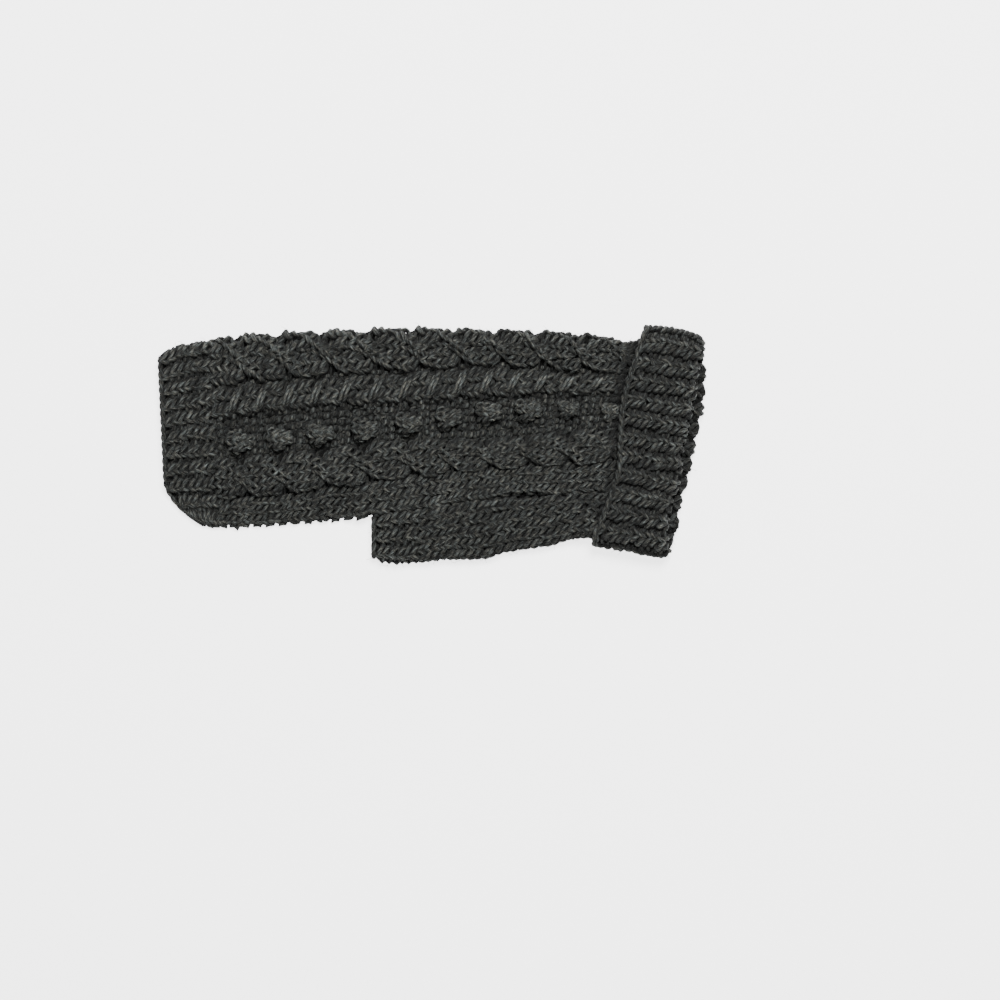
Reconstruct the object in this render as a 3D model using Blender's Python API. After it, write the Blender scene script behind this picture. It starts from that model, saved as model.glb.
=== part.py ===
"""Hand-knitted roll-neck dog sweater, empty and laid flat on its side.

Three cloth pieces: the back panel, folded along the spine; the belly panel, folded along the belly and
sewn to both edges of the back panel but for a slit for each front leg; and the ribbed roll neck, a tube
that is turned down over the body. Every piece is one closed wall of cloth. The far half lies flat on the
surface and the near half lies on it. Rope cables, mock cables, bobbles and ribs are raised in the near
half's outer points, over a plain inside.

Frame: +X from tail to neck, +Y from belly to spine, +Z up from the surface at Z = 0.
Sizes are in millimetres and are scaled to metres where a mesh is made.
"""

import bisect
import functools
import math
from typing import NamedTuple

import bmesh
import bpy

MM = 0.001

# Cloth
WALL = 3.6              # thickness of the body's cloth and of the neck's inner layer
TURNED_WALL = 3.4       # thickness of the roll neck where it is turned down
GAP = 0.3               # between layers that lie on each other, and across a seam
LAYER = GAP / 2 + WALL  # from the middle plane to the outer face of one body layer
TURNED_IN = LAYER + GAP             # from the middle plane to the turned-down layer's inner face
TURNED_OUT = TURNED_IN + TURNED_WALL
BODY_MID = LAYER        # height of the middle plane where the body rests on the surface
NECK_MID = TURNED_OUT   # height of the middle plane inside the roll neck
RISE_LENGTH = 20.0      # the body climbs onto the turned-down layer over this length
RISE_END = 5.0          # and is up this far before the layer's edge
DRAPE_WIDTH = 12.0      # the near half hangs down to the surface over this width past the far edge
DRAPE_START = 3.0       # but not beside the belly panel, which carries it: it starts and ends
DRAPE_END = 20.0        # its descent this far from the belly panel's hem

# Knitting: courses run across the body and are counted from the tail hem to the neck
COURSES = 70
HEM_COURSES = 7
COLUMNS_PER_COURSE = 1.25
BELLY_COURSES = 36


class Cable(NamedTuple):
    """Two strands that change places again and again; the upper one passes in front where down is True."""

    first: float        # course of the first crossing, at the cable's middle
    pitch: float        # courses from one crossing to the next
    cross: float        # half the length of a crossing, in courses
    lean: float         # a crossing comes this many courses earlier at the cable's upper edge
    rise: float
    down: bool


# Raised pattern
RIB_RISE = 1.1
ROPE_RISE = 3.0
SPINE_ROPE = Cable(12.5, 6.0, 1.9, 1.3, ROPE_RISE, True)
SIDE_ROPE = Cable(11.9, 6.0, 1.9, 1.0, 2.4, True)
MOCK_CABLE = Cable(10.8, 4.0, 1.0, 0.0, 1.7, False)
STRAND_REACH = 0.58     # half the width of a strand, where a cable's half width is 1
FRONT_LIFT = 0.3        # shares of a cable's rise by which the front strand climbs at a crossing
BACK_DROP = 0.55        # and the back strand sinks
RISE_FADE_ANGLE = 75.0  # the spine cable's rise fades over this angle past the fold's outermost line
PURL_GROOVE = 2.2       # width of the single purl wale beside a cable
PLAIN_RISE = 0.4
BOBBLE_FIRST = 11.4
BOBBLE_PITCH = 6.0
BOBBLE_COUNT = 10
BOBBLE_RADIUS = 8.4
LAST_BOBBLES_RADIUS = 6.4
BOBBLE_RISE = 5.4
RELIEF_END = 5.0        # the pattern is pressed flat this far before the roll neck's edge
RELIEF_FADE = 8.0

# Leg slit in each seam
SLIT_START = 34.6
SLIT_END = 76.9
SLIT_HALF_WIDTH = 1.1

# Rounded corner of the tail hem
CORNER_SWEEP = 22.0
CORNER_START = 0.75     # share of the panel's width where the corner starts
CORNER_COURSES = 12.0


class BackStation(NamedTuple):
    """One course of the back panel: where it crosses each line of the pattern."""

    course: float       # counted from the tail hem
    spine_x: float      # the course's end at the spine fold
    edge_x: float       # and at the panel's near edge
    spine_y: float      # outermost line of the fold, with the cable on it
    rope_y: float       # lower edge of the spine cable
    mock_y: float       # lower edge of the mock cable
    bobble_y: float     # middle of the bobbles
    side_y: float       # upper edge of the side cable
    plain_y: float      # its lower edge, where the plain wales start
    edge_y: float       # near edge of the panel
    far_y: float        # far edge, on the hidden half


BACK = (
    BackStation(0.0, -173.3, -168.2, 58.6, 32.0, 14.0, 1.3, -8.0, -32.0, -49.8, -22.0),
    BackStation(3.0, -160.3, -155.3, 64.6, 33.4, 15.3, 1.3, -8.9, -33.2, -50.4, -22.4),
    BackStation(7.0, -143.0, -138.0, 67.6, 35.3, 17.0, 1.3, -10.1, -34.7, -51.0, -23.0),
    BackStation(23.2, -71.8, -71.9, 71.8, 42.8, 23.9, 6.9, -4.4, -29.0, -47.9, -20.0),
    BackStation(35.2, -14.5, -18.5, 73.7, 46.0, 27.1, 13.5, 2.5, -21.4, -42.2, -14.0),
    BackStation(47.2, 37.8, 30.0, 72.5, 49.8, 30.9, 20.8, 2.5, -16.4, -34.7, -7.0),
    BackStation(59.2, 90.1, 78.4, 70.6, 46.6, 32.1, 22.7, 7.6, -13.2, -31.2, -3.0),
    BackStation(65.5, 119.1, 105.0, 67.6, 45.6, 32.9, 21.4, 9.4, -11.7, -30.3, -2.2),
    BackStation(70.0, 139.9, 124.1, 72.2, 45.0, 33.4, 22.7, 10.7, -10.7, -29.6, -1.6),
)

# Rows of points across each band of the back panel's near half, from the spine to the edge
BAND_ROWS = (("spine_y", "rope_y", 9), ("rope_y", "mock_y", 5), ("mock_y", "side_y", 8),
             ("side_y", "plain_y", 7), ("plain_y", "edge_y", 3))
NEAR_ROWS = sum(rows for _, _, rows in BAND_ROWS)
ROWS_PER_RIB = 3

# Courses on which the plain far half and the inside have their points
WIDE_COURSES = (0.0, 2.0, 3.5, 5.0, 7.0, 12.0, 18.0, 24.0, 25.5, 27.0, 28.5, 30.0, 36.0, 42.0, 48.0, 52.0)
CLOSE_COURSES_START = 55    # from here on, where the body climbs, every course has points


class BellyStation(NamedTuple):
    """One place along the belly panel."""

    x: float
    fold_y: float       # outermost line of the belly fold


BELLY = (
    BellyStation(-39.1, -71.2),
    BellyStation(-30.9, -74.0),
    BellyStation(-20.8, -74.8),
    BellyStation(8.2, -72.0),
    BellyStation(35.9, -70.6),
    BellyStation(44.1, -67.5),
    BellyStation(73.7, -63.0),
    BellyStation(88.0, -58.6),
    BellyStation(124.0, -60.6),
)
BELLY_START = BELLY[0].x
BELLY_RIB_COURSES = 6
BELLY_NEAR_ROWS = 10
BELLY_ROWS_PER_RIB = 4
BELLY_COLUMNS = 48

# Steps around a folded panel: the near half, the rounded fold and the far half
NEAR_AROUND = 0.45
FOLD_ANGLES = (60.0, 30.0, 0.0, -30.0, -60.0)
PLAIN_STEPS = (0.0, 0.35, 0.7, 1.0)
DRAPE_STEPS = (-DRAPE_WIDTH, -DRAPE_WIDTH * 0.7, -DRAPE_WIDTH * 0.3, 0.0)


class NeckStation(NamedTuple):
    """One rib of the roll neck, at its share of the way from the spine to the belly."""

    share: float
    edge_x: float       # cast-off edge of the turned-down layer
    fold_x: float       # near fold
    far_fold_x: float   # far fold, which shows beyond the near one


NECK = (
    NeckStation(0.0, 133.6, 169.5, 170.7),
    NeckStation(0.12, 126.0, 166.3, 172.0),
    NeckStation(0.3, 119.1, 163.2, 170.2),
    NeckStation(0.5, 116.6, 157.5, 165.1),
    NeckStation(0.66, 116.2, 155.0, 161.0),
    NeckStation(0.8, 110.9, 149.3, 156.2),
    NeckStation(0.92, 105.5, 147.6, 154.3),
    NeckStation(1.0, 100.8, 146.6, 149.6),
)
NECK_EDGE_Y = (74.3, -62.8)     # at the spine and at the belly, on the cast-off edge
NECK_FOLD_Y = (67.4, -71.4)     # and on the fold
FAR_EDGE_SETBACK = 2.0          # of the hidden turned-down edge
NECK_RIBS = 12
NECK_FAR_STEPS = 10
COARSE_STEPS = 9
TURNED_STEPS = (0.06, 0.25, 0.45, 0.65, 0.85)
FLAT_SHARE = 0.45       # share of the way around the ring that each flat stretch takes
ROUND_SHARE = 0.05      # and each rounded end

CHARCOAL = (0.030, 0.032, 0.029, 1.0)
CHARCOAL_RIB = (0.034, 0.036, 0.033, 1.0)
WOOL_ROUGHNESS = 0.95
SHARP_ANGLE = 50.0
BISECTIONS = 40


# ---------------------------------------------------------------- small maths

def smooth(value, low, high):
    """0 below low, 1 above high, and an even curve between."""
    share = min(max((value - low) / (high - low), 0.0), 1.0)
    return share * share * (3.0 - 2.0 * share)


def mix(first, second, share):
    """The value at a share of the way from the first to the second."""
    return first + (second - first) * share


def fold_around(angle):
    """Share of the way around a folded panel at an angle of its fold, 90 degrees to -90."""
    return mix(NEAR_AROUND, 1 - NEAR_AROUND, (90.0 - angle) / 180.0)


def read_table(table, key, place, column):
    """Smooth curve through a table's column, read at one place along its key column."""
    keys = [getattr(row, key) for row in table]
    values = [getattr(row, column) for row in table]
    slopes = [(values[i + 1] - values[i]) / (keys[i + 1] - keys[i]) for i in range(len(keys) - 1)]
    tangents = [slopes[0]] + [(a + b) / 2 for a, b in zip(slopes, slopes[1:])] + [slopes[-1]]
    i = min(max(bisect.bisect_right(keys, place) - 1, 0), len(keys) - 2)
    span = keys[i + 1] - keys[i]
    t = min(max((place - keys[i]) / span, 0.0), 1.0)
    return ((2 * t ** 3 - 3 * t ** 2 + 1) * values[i] + (t ** 3 - 2 * t ** 2 + t) * span * tangents[i]
            + (3 * t ** 2 - 2 * t ** 3) * values[i + 1] + (t ** 3 - t ** 2) * span * tangents[i + 1])


@functools.lru_cache(maxsize=None)
def back(course, column):
    """A line of the back panel at one course."""
    return read_table(BACK, "course", course, column)


def neck(share, column):
    """A line of the roll neck at a share of the way from the spine to the belly."""
    return read_table(NECK, "share", share, column)


# ---------------------------------------------------------------- lines shared by the pieces

def neck_line_x(y):
    """The straight seam where the body ends and the roll neck starts."""
    last = BACK[-1]
    slope = (last.spine_x - last.edge_x) / (last.spine_y - last.edge_y)
    return last.edge_x + (y - last.edge_y) * slope


def neck_edge_x(y):
    """The cast-off edge of the turned-down layer, at a height on the body."""
    share = min(max((y - NECK_EDGE_Y[0]) / (NECK_EDGE_Y[1] - NECK_EDGE_Y[0]), 0.0), 1.0)
    return neck(share, "edge_x")


def middle_height(x, y):
    """Height of the plane between the body's two layers, which climbs onto the turned-down layer."""
    before_edge = x - neck_edge_x(y)
    return mix(BODY_MID, NECK_MID, smooth(before_edge, -RISE_END - RISE_LENGTH, -RISE_END))


def pattern_share(x, y):
    """How far the raised pattern stands up: it is pressed flat under the roll neck."""
    before_edge = x - neck_edge_x(y)
    return 1.0 - smooth(before_edge, -RELIEF_END - RELIEF_FADE, -RELIEF_END)


def drape(course, x, y):
    """How far the near half hangs down past the far half's edge, where no belly panel carries it."""
    past_edge = smooth(back(course, "far_y") - y, 0.0, DRAPE_WIDTH)
    return (WALL + GAP) * past_edge * smooth(BELLY_START - x, DRAPE_START, DRAPE_END)


def slit_half_width(x):
    """Half the width of the leg slit at a place along the seam."""
    middle = (SLIT_START + SLIT_END) / 2
    reach = (x - middle) / ((SLIT_END - SLIT_START) / 2)
    return SLIT_HALF_WIDTH * math.sqrt(max(0.0, 1.0 - reach * reach))


def course_x(course, y):
    """Where a course of the back panel crosses a height: courses are straight but for the hem's corner."""
    spine_x, edge_x = back(course, "spine_x"), back(course, "edge_x")
    spine_y, edge_y = back(course, "spine_y"), back(course, "edge_y")
    share = (spine_y - y) / (spine_y - edge_y)
    past = max(0.0, share - CORNER_START) / (1.0 - CORNER_START)
    sweep = CORNER_SWEEP * max(0.0, 1.0 - course / CORNER_COURSES) ** 2
    return mix(spine_x, edge_x, share) + sweep * past * past


@functools.lru_cache(maxsize=None)
def edge_line_y(x, column):
    """Height of the back panel's near or far edge at a place along it."""
    low, high = 0.0, float(COURSES)
    for _ in range(BISECTIONS):
        middle = (low + high) / 2
        if course_x(middle, back(middle, column)) < x:
            low = middle
        else:
            high = middle
    return back(low, column)


# ---------------------------------------------------------------- raised pattern

def cable_rise(cable, course, y, lower_y, upper_y):
    """Rise of a cable at a course and a height between its lower and its upper edge."""
    across = 2 * (y - lower_y) / (upper_y - lower_y) - 1
    leaning = course + cable.lean * across - cable.first
    offset = leaning - round(leaning / cable.pitch) * cable.pitch
    share = smooth(offset, -cable.cross, cable.cross)
    lift = max(0.0, 1.0 - (offset / cable.cross) ** 2)
    side = 1.0 if cable.down else -1.0
    strands = ((side * (0.5 - share), 1.0 + FRONT_LIFT * lift),
               (side * (share - 0.5), 1.0 - BACK_DROP * lift))
    best = 0.0
    for centre, height in strands:
        reach = (across - centre) / STRAND_REACH
        if abs(reach) < 1.0:
            best = max(best, height * math.sqrt(1.0 - reach * reach))
    return cable.rise * best


def bobble_rise(x, y):
    """Rise of the bobbles, each a half ball on the purl ground."""
    best = 0.0
    for number in range(BOBBLE_COUNT):
        course = BOBBLE_FIRST + number * BOBBLE_PITCH
        centre_y = back(course, "bobble_y")
        centre_x = course_x(course, centre_y)
        radius = BOBBLE_RADIUS if number < BOBBLE_COUNT - 2 else LAST_BOBBLES_RADIUS
        reach = math.hypot(x - centre_x, y - centre_y) / radius
        if reach < 1.0:
            best = max(best, BOBBLE_RISE * radius / BOBBLE_RADIUS * math.sqrt(1.0 - reach * reach))
    return best


def fold_centre_y(course):
    """Centre of the spine fold's rounded edge."""
    return back(course, "spine_y") - LAYER - ROPE_RISE


def back_rise(course, y, x, row):
    """Rise of the pattern on the back panel's near half; y is unrolled past the fold."""
    in_body = smooth(course, HEM_COURSES - 1.0, HEM_COURSES + 2.0)
    rib = RIB_RISE if row % ROWS_PER_RIB == 1 else 0.0
    rope_top = fold_centre_y(course) + LAYER * math.pi / 2 + PURL_GROOVE
    rope_y, mock_y = back(course, "rope_y"), back(course, "mock_y")
    side_y, plain_y = back(course, "side_y"), back(course, "plain_y")
    if y > rope_y:
        rise = cable_rise(SPINE_ROPE, course, y, rope_y, rope_top)
    elif mock_y < y < rope_y - PURL_GROOVE:
        rise = cable_rise(MOCK_CABLE, course, y, mock_y, rope_y - PURL_GROOVE)
    elif plain_y < y < side_y:
        rise = cable_rise(SIDE_ROPE, course, y, plain_y, side_y)
    elif y < plain_y - PURL_GROOVE:
        rise = PLAIN_RISE
    else:
        rise = bobble_rise(x, y)
    return mix(rib, rise, in_body) * pattern_share(x, y)


# ---------------------------------------------------------------- walls

class Row(NamedTuple):
    """A line of points along a piece, with each point's share of the way along it."""

    points: list
    shares: list
    around: float = 0.0     # share of the way around a folded panel, from its near edge to its far edge


class Wall:
    """Collects the faces of one closed wall of cloth."""

    def __init__(self):
        """Start with no faces."""
        self.mesh = bmesh.new()

    def add_row(self, points, shares, around=0.0):
        """Add a row's points to the mesh."""
        vertices = [self.mesh.verts.new((x * MM, y * MM, z * MM)) for x, y, z in points]
        return Row(vertices, shares, around)

    def close_ring(self, row):
        """The same row with its first point again at the end."""
        return Row(row.points + row.points[:1], row.shares + [1.0])

    def join(self, first, second):
        """Fill between two rows, whose points may differ in number."""
        i = j = 0
        while i < len(first.points) - 1 or j < len(second.points) - 1:
            next_first = first.shares[i + 1] if i < len(first.points) - 1 else math.inf
            next_second = second.shares[j + 1] if j < len(second.points) - 1 else math.inf
            if next_first <= next_second:
                self.mesh.faces.new((first.points[i], first.points[i + 1], second.points[j]))
                i += 1
            else:
                self.mesh.faces.new((first.points[i], second.points[j + 1], second.points[j]))
                j += 1

    def join_rows(self, rows):
        """Fill between each row and the next."""
        for first, second in zip(rows, rows[1:]):
            self.join(first, second)

    def join_folded(self, outer, inner):
        """Close a folded panel: both faces, the rims at its two edges, and the rims at its two ends."""
        self.join_rows(outer)
        self.join_rows(inner)
        self.join(outer[0], inner[0])
        self.join(outer[-1], inner[-1])
        for end in (0, -1):
            faces = [Row([row.points[end] for row in rows], [row.around for row in rows])
                     for rows in (outer, inner)]
            self.join(*faces)

    def finish(self, name, colour):
        """Turn the faces outwards and make the named piece, with its wool."""
        bmesh.ops.recalc_face_normals(self.mesh, faces=self.mesh.faces)
        mesh = bpy.data.meshes.new(name)
        self.mesh.to_mesh(mesh)
        self.mesh.free()
        mesh.shade_smooth()
        mesh.set_sharp_from_angle(angle=math.radians(SHARP_ANGLE))
        piece = bpy.data.objects.new(name, mesh)
        bpy.context.collection.objects.link(piece)
        material = bpy.data.materials.new(name + "_wool")
        material.use_nodes = True
        shader = material.node_tree.nodes["Principled BSDF"]
        shader.inputs["Base Color"].default_value = colour
        shader.inputs["Roughness"].default_value = WOOL_ROUGHNESS
        shader.inputs["Metallic"].default_value = 0.0
        mesh.materials.append(material)
        return piece


def fine_courses():
    """Places along the panel where the raised face has its points."""
    count = round(COURSES * COLUMNS_PER_COURSE)
    return [COURSES * i / count for i in range(count + 1)]


def coarse_courses():
    """Wide steps along the flat body, and short ones where it climbs and beside the belly's hem."""
    return list(WIDE_COURSES) + [float(course) for course in range(CLOSE_COURSES_START, COURSES + 1)]


def near_height_y(course, row):
    """Height of a row of points on the near half: by ribs in the hem, by bands past it."""
    top, edge = fold_centre_y(course), back(course, "edge_y")
    even = mix(top, edge, row / NEAR_ROWS)
    passed = 0
    for upper, lower, rows in BAND_ROWS:
        if row <= passed + rows:
            upper_y = top if upper == "spine_y" else back(course, upper)
            banded = mix(upper_y, back(course, lower), (row - passed) / rows)
            break
        passed += rows
    y = mix(even, banded, smooth(course, HEM_COURSES - 1.0, HEM_COURSES + 3.0))
    if row == NEAR_ROWS:
        y += slit_half_width(course_x(course, edge))
    return y


def build_back_panel():
    """The back panel: raised near half, rounded spine fold and plain far half."""
    wall = Wall()
    fine, coarse = fine_courses(), coarse_courses()
    fine_shares = [course / COURSES for course in fine]
    coarse_shares = [course / COURSES for course in coarse]
    outer = []
    for row in range(NEAR_ROWS, -1, -1):
        points = []
        for course in fine:
            y = near_height_y(course, row)
            x = course_x(course, y)
            rise = back_rise(course, y, x, row) - drape(course, x, y)
            points.append((x, y, middle_height(x, y) + LAYER + rise))
        outer.append(wall.add_row(points, fine_shares, NEAR_AROUND * (1 - row / NEAR_ROWS)))
    for angle in FOLD_ANGLES:
        turn = math.radians(angle)
        points = []
        for course in fine:
            centre = fold_centre_y(course)
            unrolled = centre + LAYER * (math.pi / 2 - turn)
            x = course_x(course, centre + LAYER * math.cos(turn))
            fade = 1.0 if angle >= 0 else 1.0 - abs(angle) / RISE_FADE_ANGLE
            rise = back_rise(course, unrolled, x, 1) * fade
            reach = LAYER + rise
            y = centre + reach * math.cos(turn)
            x = course_x(course, y)
            points.append((x, y, middle_height(x, y) + reach * math.sin(turn)))
        outer.append(wall.add_row(points, fine_shares, fold_around(angle)))

    def plain_row(y_of, side, offset, around):
        """A row without pattern, on the near half where side is 1 and on the far half where it is -1."""
        points = []
        for course in coarse:
            y = y_of(course)
            x = course_x(course, y)
            hang = drape(course, x, y) if side > 0 else 0.0
            points.append((x, y, middle_height(x, y) + side * offset - hang))
        return wall.add_row(points, coarse_shares, around)

    def far_edge(course):
        """The far half's edge, drawn back along the leg slit."""
        y = back(course, "far_y")
        return y + slit_half_width(course_x(course, y))

    def near_inner(step, course):
        """Height of a row of points on the near half's inside, close together where it hangs down."""
        if step == 0:
            return near_height_y(course, NEAR_ROWS)
        return back(course, "far_y") + DRAPE_STEPS[step - 1]

    def near_inner_around(step):
        """The row's share of the way around the panel."""
        share = (near_inner(step, 0) - near_inner(0, 0)) / (fold_centre_y(0) - near_inner(0, 0))
        return NEAR_AROUND * share

    for share in PLAIN_STEPS:
        outer.append(plain_row(lambda c: mix(fold_centre_y(c), far_edge(c), share), -1, LAYER,
                               mix(1 - NEAR_AROUND, 1, share)))
    inner = [plain_row(lambda c: near_inner(step, c), 1, GAP / 2, near_inner_around(step))
             for step in range(len(DRAPE_STEPS) + 1)]
    inner.append(plain_row(fold_centre_y, 1, GAP / 2, NEAR_AROUND))
    inner.append(plain_row(lambda c: fold_centre_y(c) + GAP, 0, 0.0, 0.5))
    inner += [plain_row(lambda c: mix(fold_centre_y(c), far_edge(c), share), -1, GAP / 2,
                        mix(1 - NEAR_AROUND, 1, share)) for share in PLAIN_STEPS]
    wall.join_folded(outer, inner)
    return wall.finish("back_panel", CHARCOAL)


def belly_x(share, y):
    """A course of the belly panel: upright at its hem, along the neck seam at its end."""
    return mix(BELLY_START, neck_line_x(y), share)


def build_belly_panel():
    """The belly panel: near half with a ribbed hem, rounded belly fold and plain far half."""
    wall = Wall()
    shares = [i / BELLY_COLUMNS for i in range(BELLY_COLUMNS + 1)]
    steps = [i / BELLY_NEAR_ROWS for i in range(BELLY_NEAR_ROWS + 1)]

    def fold_centre(share):
        """Centre of the belly fold's rounded edge."""
        x = belly_x(share, BELLY[0].fold_y)
        return read_table(BELLY, "x", x, "fold_y") + LAYER

    def seam(share, column):
        """The panel's near or far edge, beside the back panel's."""
        x = belly_x(share, BACK[-1].edge_y)
        return edge_line_y(x, column) - GAP - slit_half_width(x)

    def near_y(share, step):
        """A row of the near half, from the seam to the fold."""
        return mix(seam(share, "edge_y"), fold_centre(share), step)

    def far_y(share, step):
        """A row of the far half, from the fold to the seam."""
        return mix(fold_centre(share), seam(share, "far_y"), step)

    def row(y_of, offset, around, rise_of=None):
        """A row of points at an offset from the middle plane."""
        points = []
        for share in shares:
            y = y_of(share)
            x = belly_x(share, y)
            rise = rise_of(share, x, y) if rise_of else 0.0
            points.append((x, y, middle_height(x, y) + offset + rise))
        return wall.add_row(points, shares, around)

    def rise_from(hem_rise, share, x, y):
        """Rise that the hem's rows start with and that turns into the plain wales' past the hem."""
        in_body = smooth(share * BELLY_COURSES, BELLY_RIB_COURSES - 1, BELLY_RIB_COURSES + 1)
        return mix(hem_rise, PLAIN_RISE, in_body) * pattern_share(x, y)

    outer = []
    for i, step in enumerate(steps):
        hem_rise = RIB_RISE if i % BELLY_ROWS_PER_RIB == 1 else 0.0
        outer.append(row(lambda s: near_y(s, step), LAYER, NEAR_AROUND * step,
                         functools.partial(rise_from, hem_rise)))
    for angle in FOLD_ANGLES:
        turn = math.radians(angle)
        outer.append(row(lambda s: fold_centre(s) - LAYER * math.cos(turn), LAYER * math.sin(turn),
                         fold_around(angle)))
    outer += [row(lambda s: far_y(s, step), -LAYER, mix(1 - NEAR_AROUND, 1, step))
              for step in PLAIN_STEPS]
    inner = [row(lambda s: near_y(s, step), GAP / 2, NEAR_AROUND * step) for step in PLAIN_STEPS]
    inner.append(row(lambda s: fold_centre(s) - GAP, 0.0, 0.5))
    inner += [row(lambda s: far_y(s, step), -GAP / 2, mix(1 - NEAR_AROUND, 1, step))
              for step in PLAIN_STEPS]
    wall.join_folded(outer, inner)
    return wall.finish("belly_panel", CHARCOAL)


# ---------------------------------------------------------------- roll neck

class RingPlace(NamedTuple):
    """One place around the flattened tube of the roll neck."""

    share: float        # share of the way around the ring
    rib: float          # share of the way from the spine to the belly
    far: float          # 0 on the near half, 1 on the far half
    out: float          # how far the place lies out past the flat stretch, per unit of layer offset
    up: float           # how far it lies above the middle plane, per unit of layer offset
    ridge: float        # 1 on a rib's ridge


def ring_places(fine):
    """The ring, from the spine down the near half and back up the far half."""
    near_steps = NECK_RIBS * ROWS_PER_RIB if fine else COARSE_STEPS
    angles = FOLD_ANGLES if fine else (0.0,)
    places = []
    for i in range(near_steps + 1):
        ridge = 1.0 if i % ROWS_PER_RIB == 1 else 0.0
        places.append(RingPlace(FLAT_SHARE * i / near_steps, i / near_steps, 0.0, 0.0, 1.0, ridge))
    for i, angle in enumerate(angles):
        turn = math.radians(angle)
        share = FLAT_SHARE + ROUND_SHARE * (i + 1) / (len(angles) + 1)
        places.append(RingPlace(share, 1.0, 0.0 if angle > 0 else 1.0, -math.cos(turn), math.sin(turn), 0.0))
    for i in range(NECK_FAR_STEPS + 1):
        share = FLAT_SHARE + ROUND_SHARE + FLAT_SHARE * i / NECK_FAR_STEPS
        places.append(RingPlace(share, 1.0 - i / NECK_FAR_STEPS, 1.0, 0.0, -1.0, 0.0))
    for i, angle in enumerate(reversed(angles)):
        turn = math.radians(angle)
        share = 1.0 - ROUND_SHARE + ROUND_SHARE * (i + 1) / (len(angles) + 1)
        places.append(RingPlace(share, 0.0, 0.0 if angle > 0 else 1.0, math.cos(turn), math.sin(turn), 0.0))
    return places


def neck_point(place, along, offset, from_fold=None, from_seam=False):
    """A point of the roll neck.

    along runs from 0 at the turned-down edge to 1 at the fold; from_fold gives the distance back from
    the fold in its place, and from_seam puts the point on the seam with the body.
    """
    edge_x = neck(place.rib, "edge_x") + place.far * FAR_EDGE_SETBACK * math.sin(math.pi * place.rib)
    fold_x = neck(place.rib, "far_fold_x" if place.far else "fold_x")
    edge_y = mix(NECK_EDGE_Y[0] - TURNED_OUT, NECK_EDGE_Y[1] + TURNED_OUT, place.rib)
    fold_y = mix(NECK_FOLD_Y[0] - TURNED_OUT, NECK_FOLD_Y[1] + TURNED_OUT, place.rib)
    past = place.out * offset
    if from_fold is not None:
        along = 1.0 - from_fold / math.hypot(fold_x - edge_x, fold_y - edge_y)
    if from_seam:
        last = BACK[-1]
        slope = (last.spine_x - last.edge_x) / (last.spine_y - last.edge_y)
        start = neck_line_x(edge_y + past) + GAP * math.hypot(1.0, slope) - edge_x
        along = start / ((fold_x - edge_x) - slope * (fold_y - edge_y))
    return (mix(edge_x, fold_x, along), mix(edge_y, fold_y, along) + past, NECK_MID + place.up * offset)


def build_roll_neck():
    """The roll neck: its inner layer on from the body's seam, the fold, and the turned-down layer."""
    wall = Wall()
    fine, coarse = ring_places(True), ring_places(False)

    def ring(places, point_of):
        """A closed row of points around the tube."""
        row = wall.add_row([point_of(place) for place in places], [place.share for place in places])
        return wall.close_ring(row)

    radius = (TURNED_OUT - GAP / 2) / 2
    middle = GAP / 2 + radius
    rings = [ring(fine, lambda p: neck_point(p, 0.0, TURNED_IN))]
    rings.append(ring(fine, lambda p: neck_point(p, 0.0, TURNED_OUT)))
    for step in TURNED_STEPS:
        rings.append(ring(fine, lambda p: neck_point(p, step, TURNED_OUT + RIB_RISE * p.ridge)))
    for angle in FOLD_ANGLES:
        turn = math.radians(angle)
        rise = RIB_RISE * max(0.0, math.sin(turn))
        rings.append(ring(fine, lambda p: neck_point(
            p, 0.0, middle + radius * math.sin(turn) + rise * p.ridge,
            from_fold=radius * (1.0 - math.cos(turn)))))
    rings.append(ring(coarse, lambda p: neck_point(p, 0.0, GAP / 2, from_fold=radius)))
    rings.append(ring(coarse, lambda p: neck_point(p, 0.0, GAP / 2, from_seam=True)))
    rings.append(ring(fine, lambda p: neck_point(p, 0.0, LAYER, from_seam=True)))
    rings.append(ring(fine, lambda p: neck_point(p, 0.0, LAYER, from_fold=radius)))
    rings.append(ring(fine, lambda p: neck_point(p, 0.0, TURNED_IN, from_fold=radius)))
    rings.append(rings[0])
    wall.join_rows(rings)
    return wall.finish("roll_neck", CHARCOAL_RIB)


def main():
    """Clear the scene and build the three pieces."""
    for item in list(bpy.data.objects):
        bpy.data.objects.remove(item, do_unlink=True)
    build_back_panel()
    build_belly_panel()
    build_roll_neck()


main()
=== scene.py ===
"""Looks of a hand-knitted roll-neck dog sweater, empty and laid flat on its side.

Each of its three cloth pieces becomes a thin near-black sheet, which paints the shade seen between the
stitches, with the knitting on it, made as the yarn runs: loop after loop, course after course. Rope cables,
mock cables and bobbles come from the same lines and heights as the solids.

Frame: +X from tail to neck, +Y from belly to spine, +Z up from the surface at Z = 0.
Sizes are in millimetres and are scaled to metres where a mesh is made.
"""

import abc
import enum
import logging
import math
from dataclasses import dataclass, field, replace
from functools import partial
from typing import Callable, NamedTuple

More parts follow.
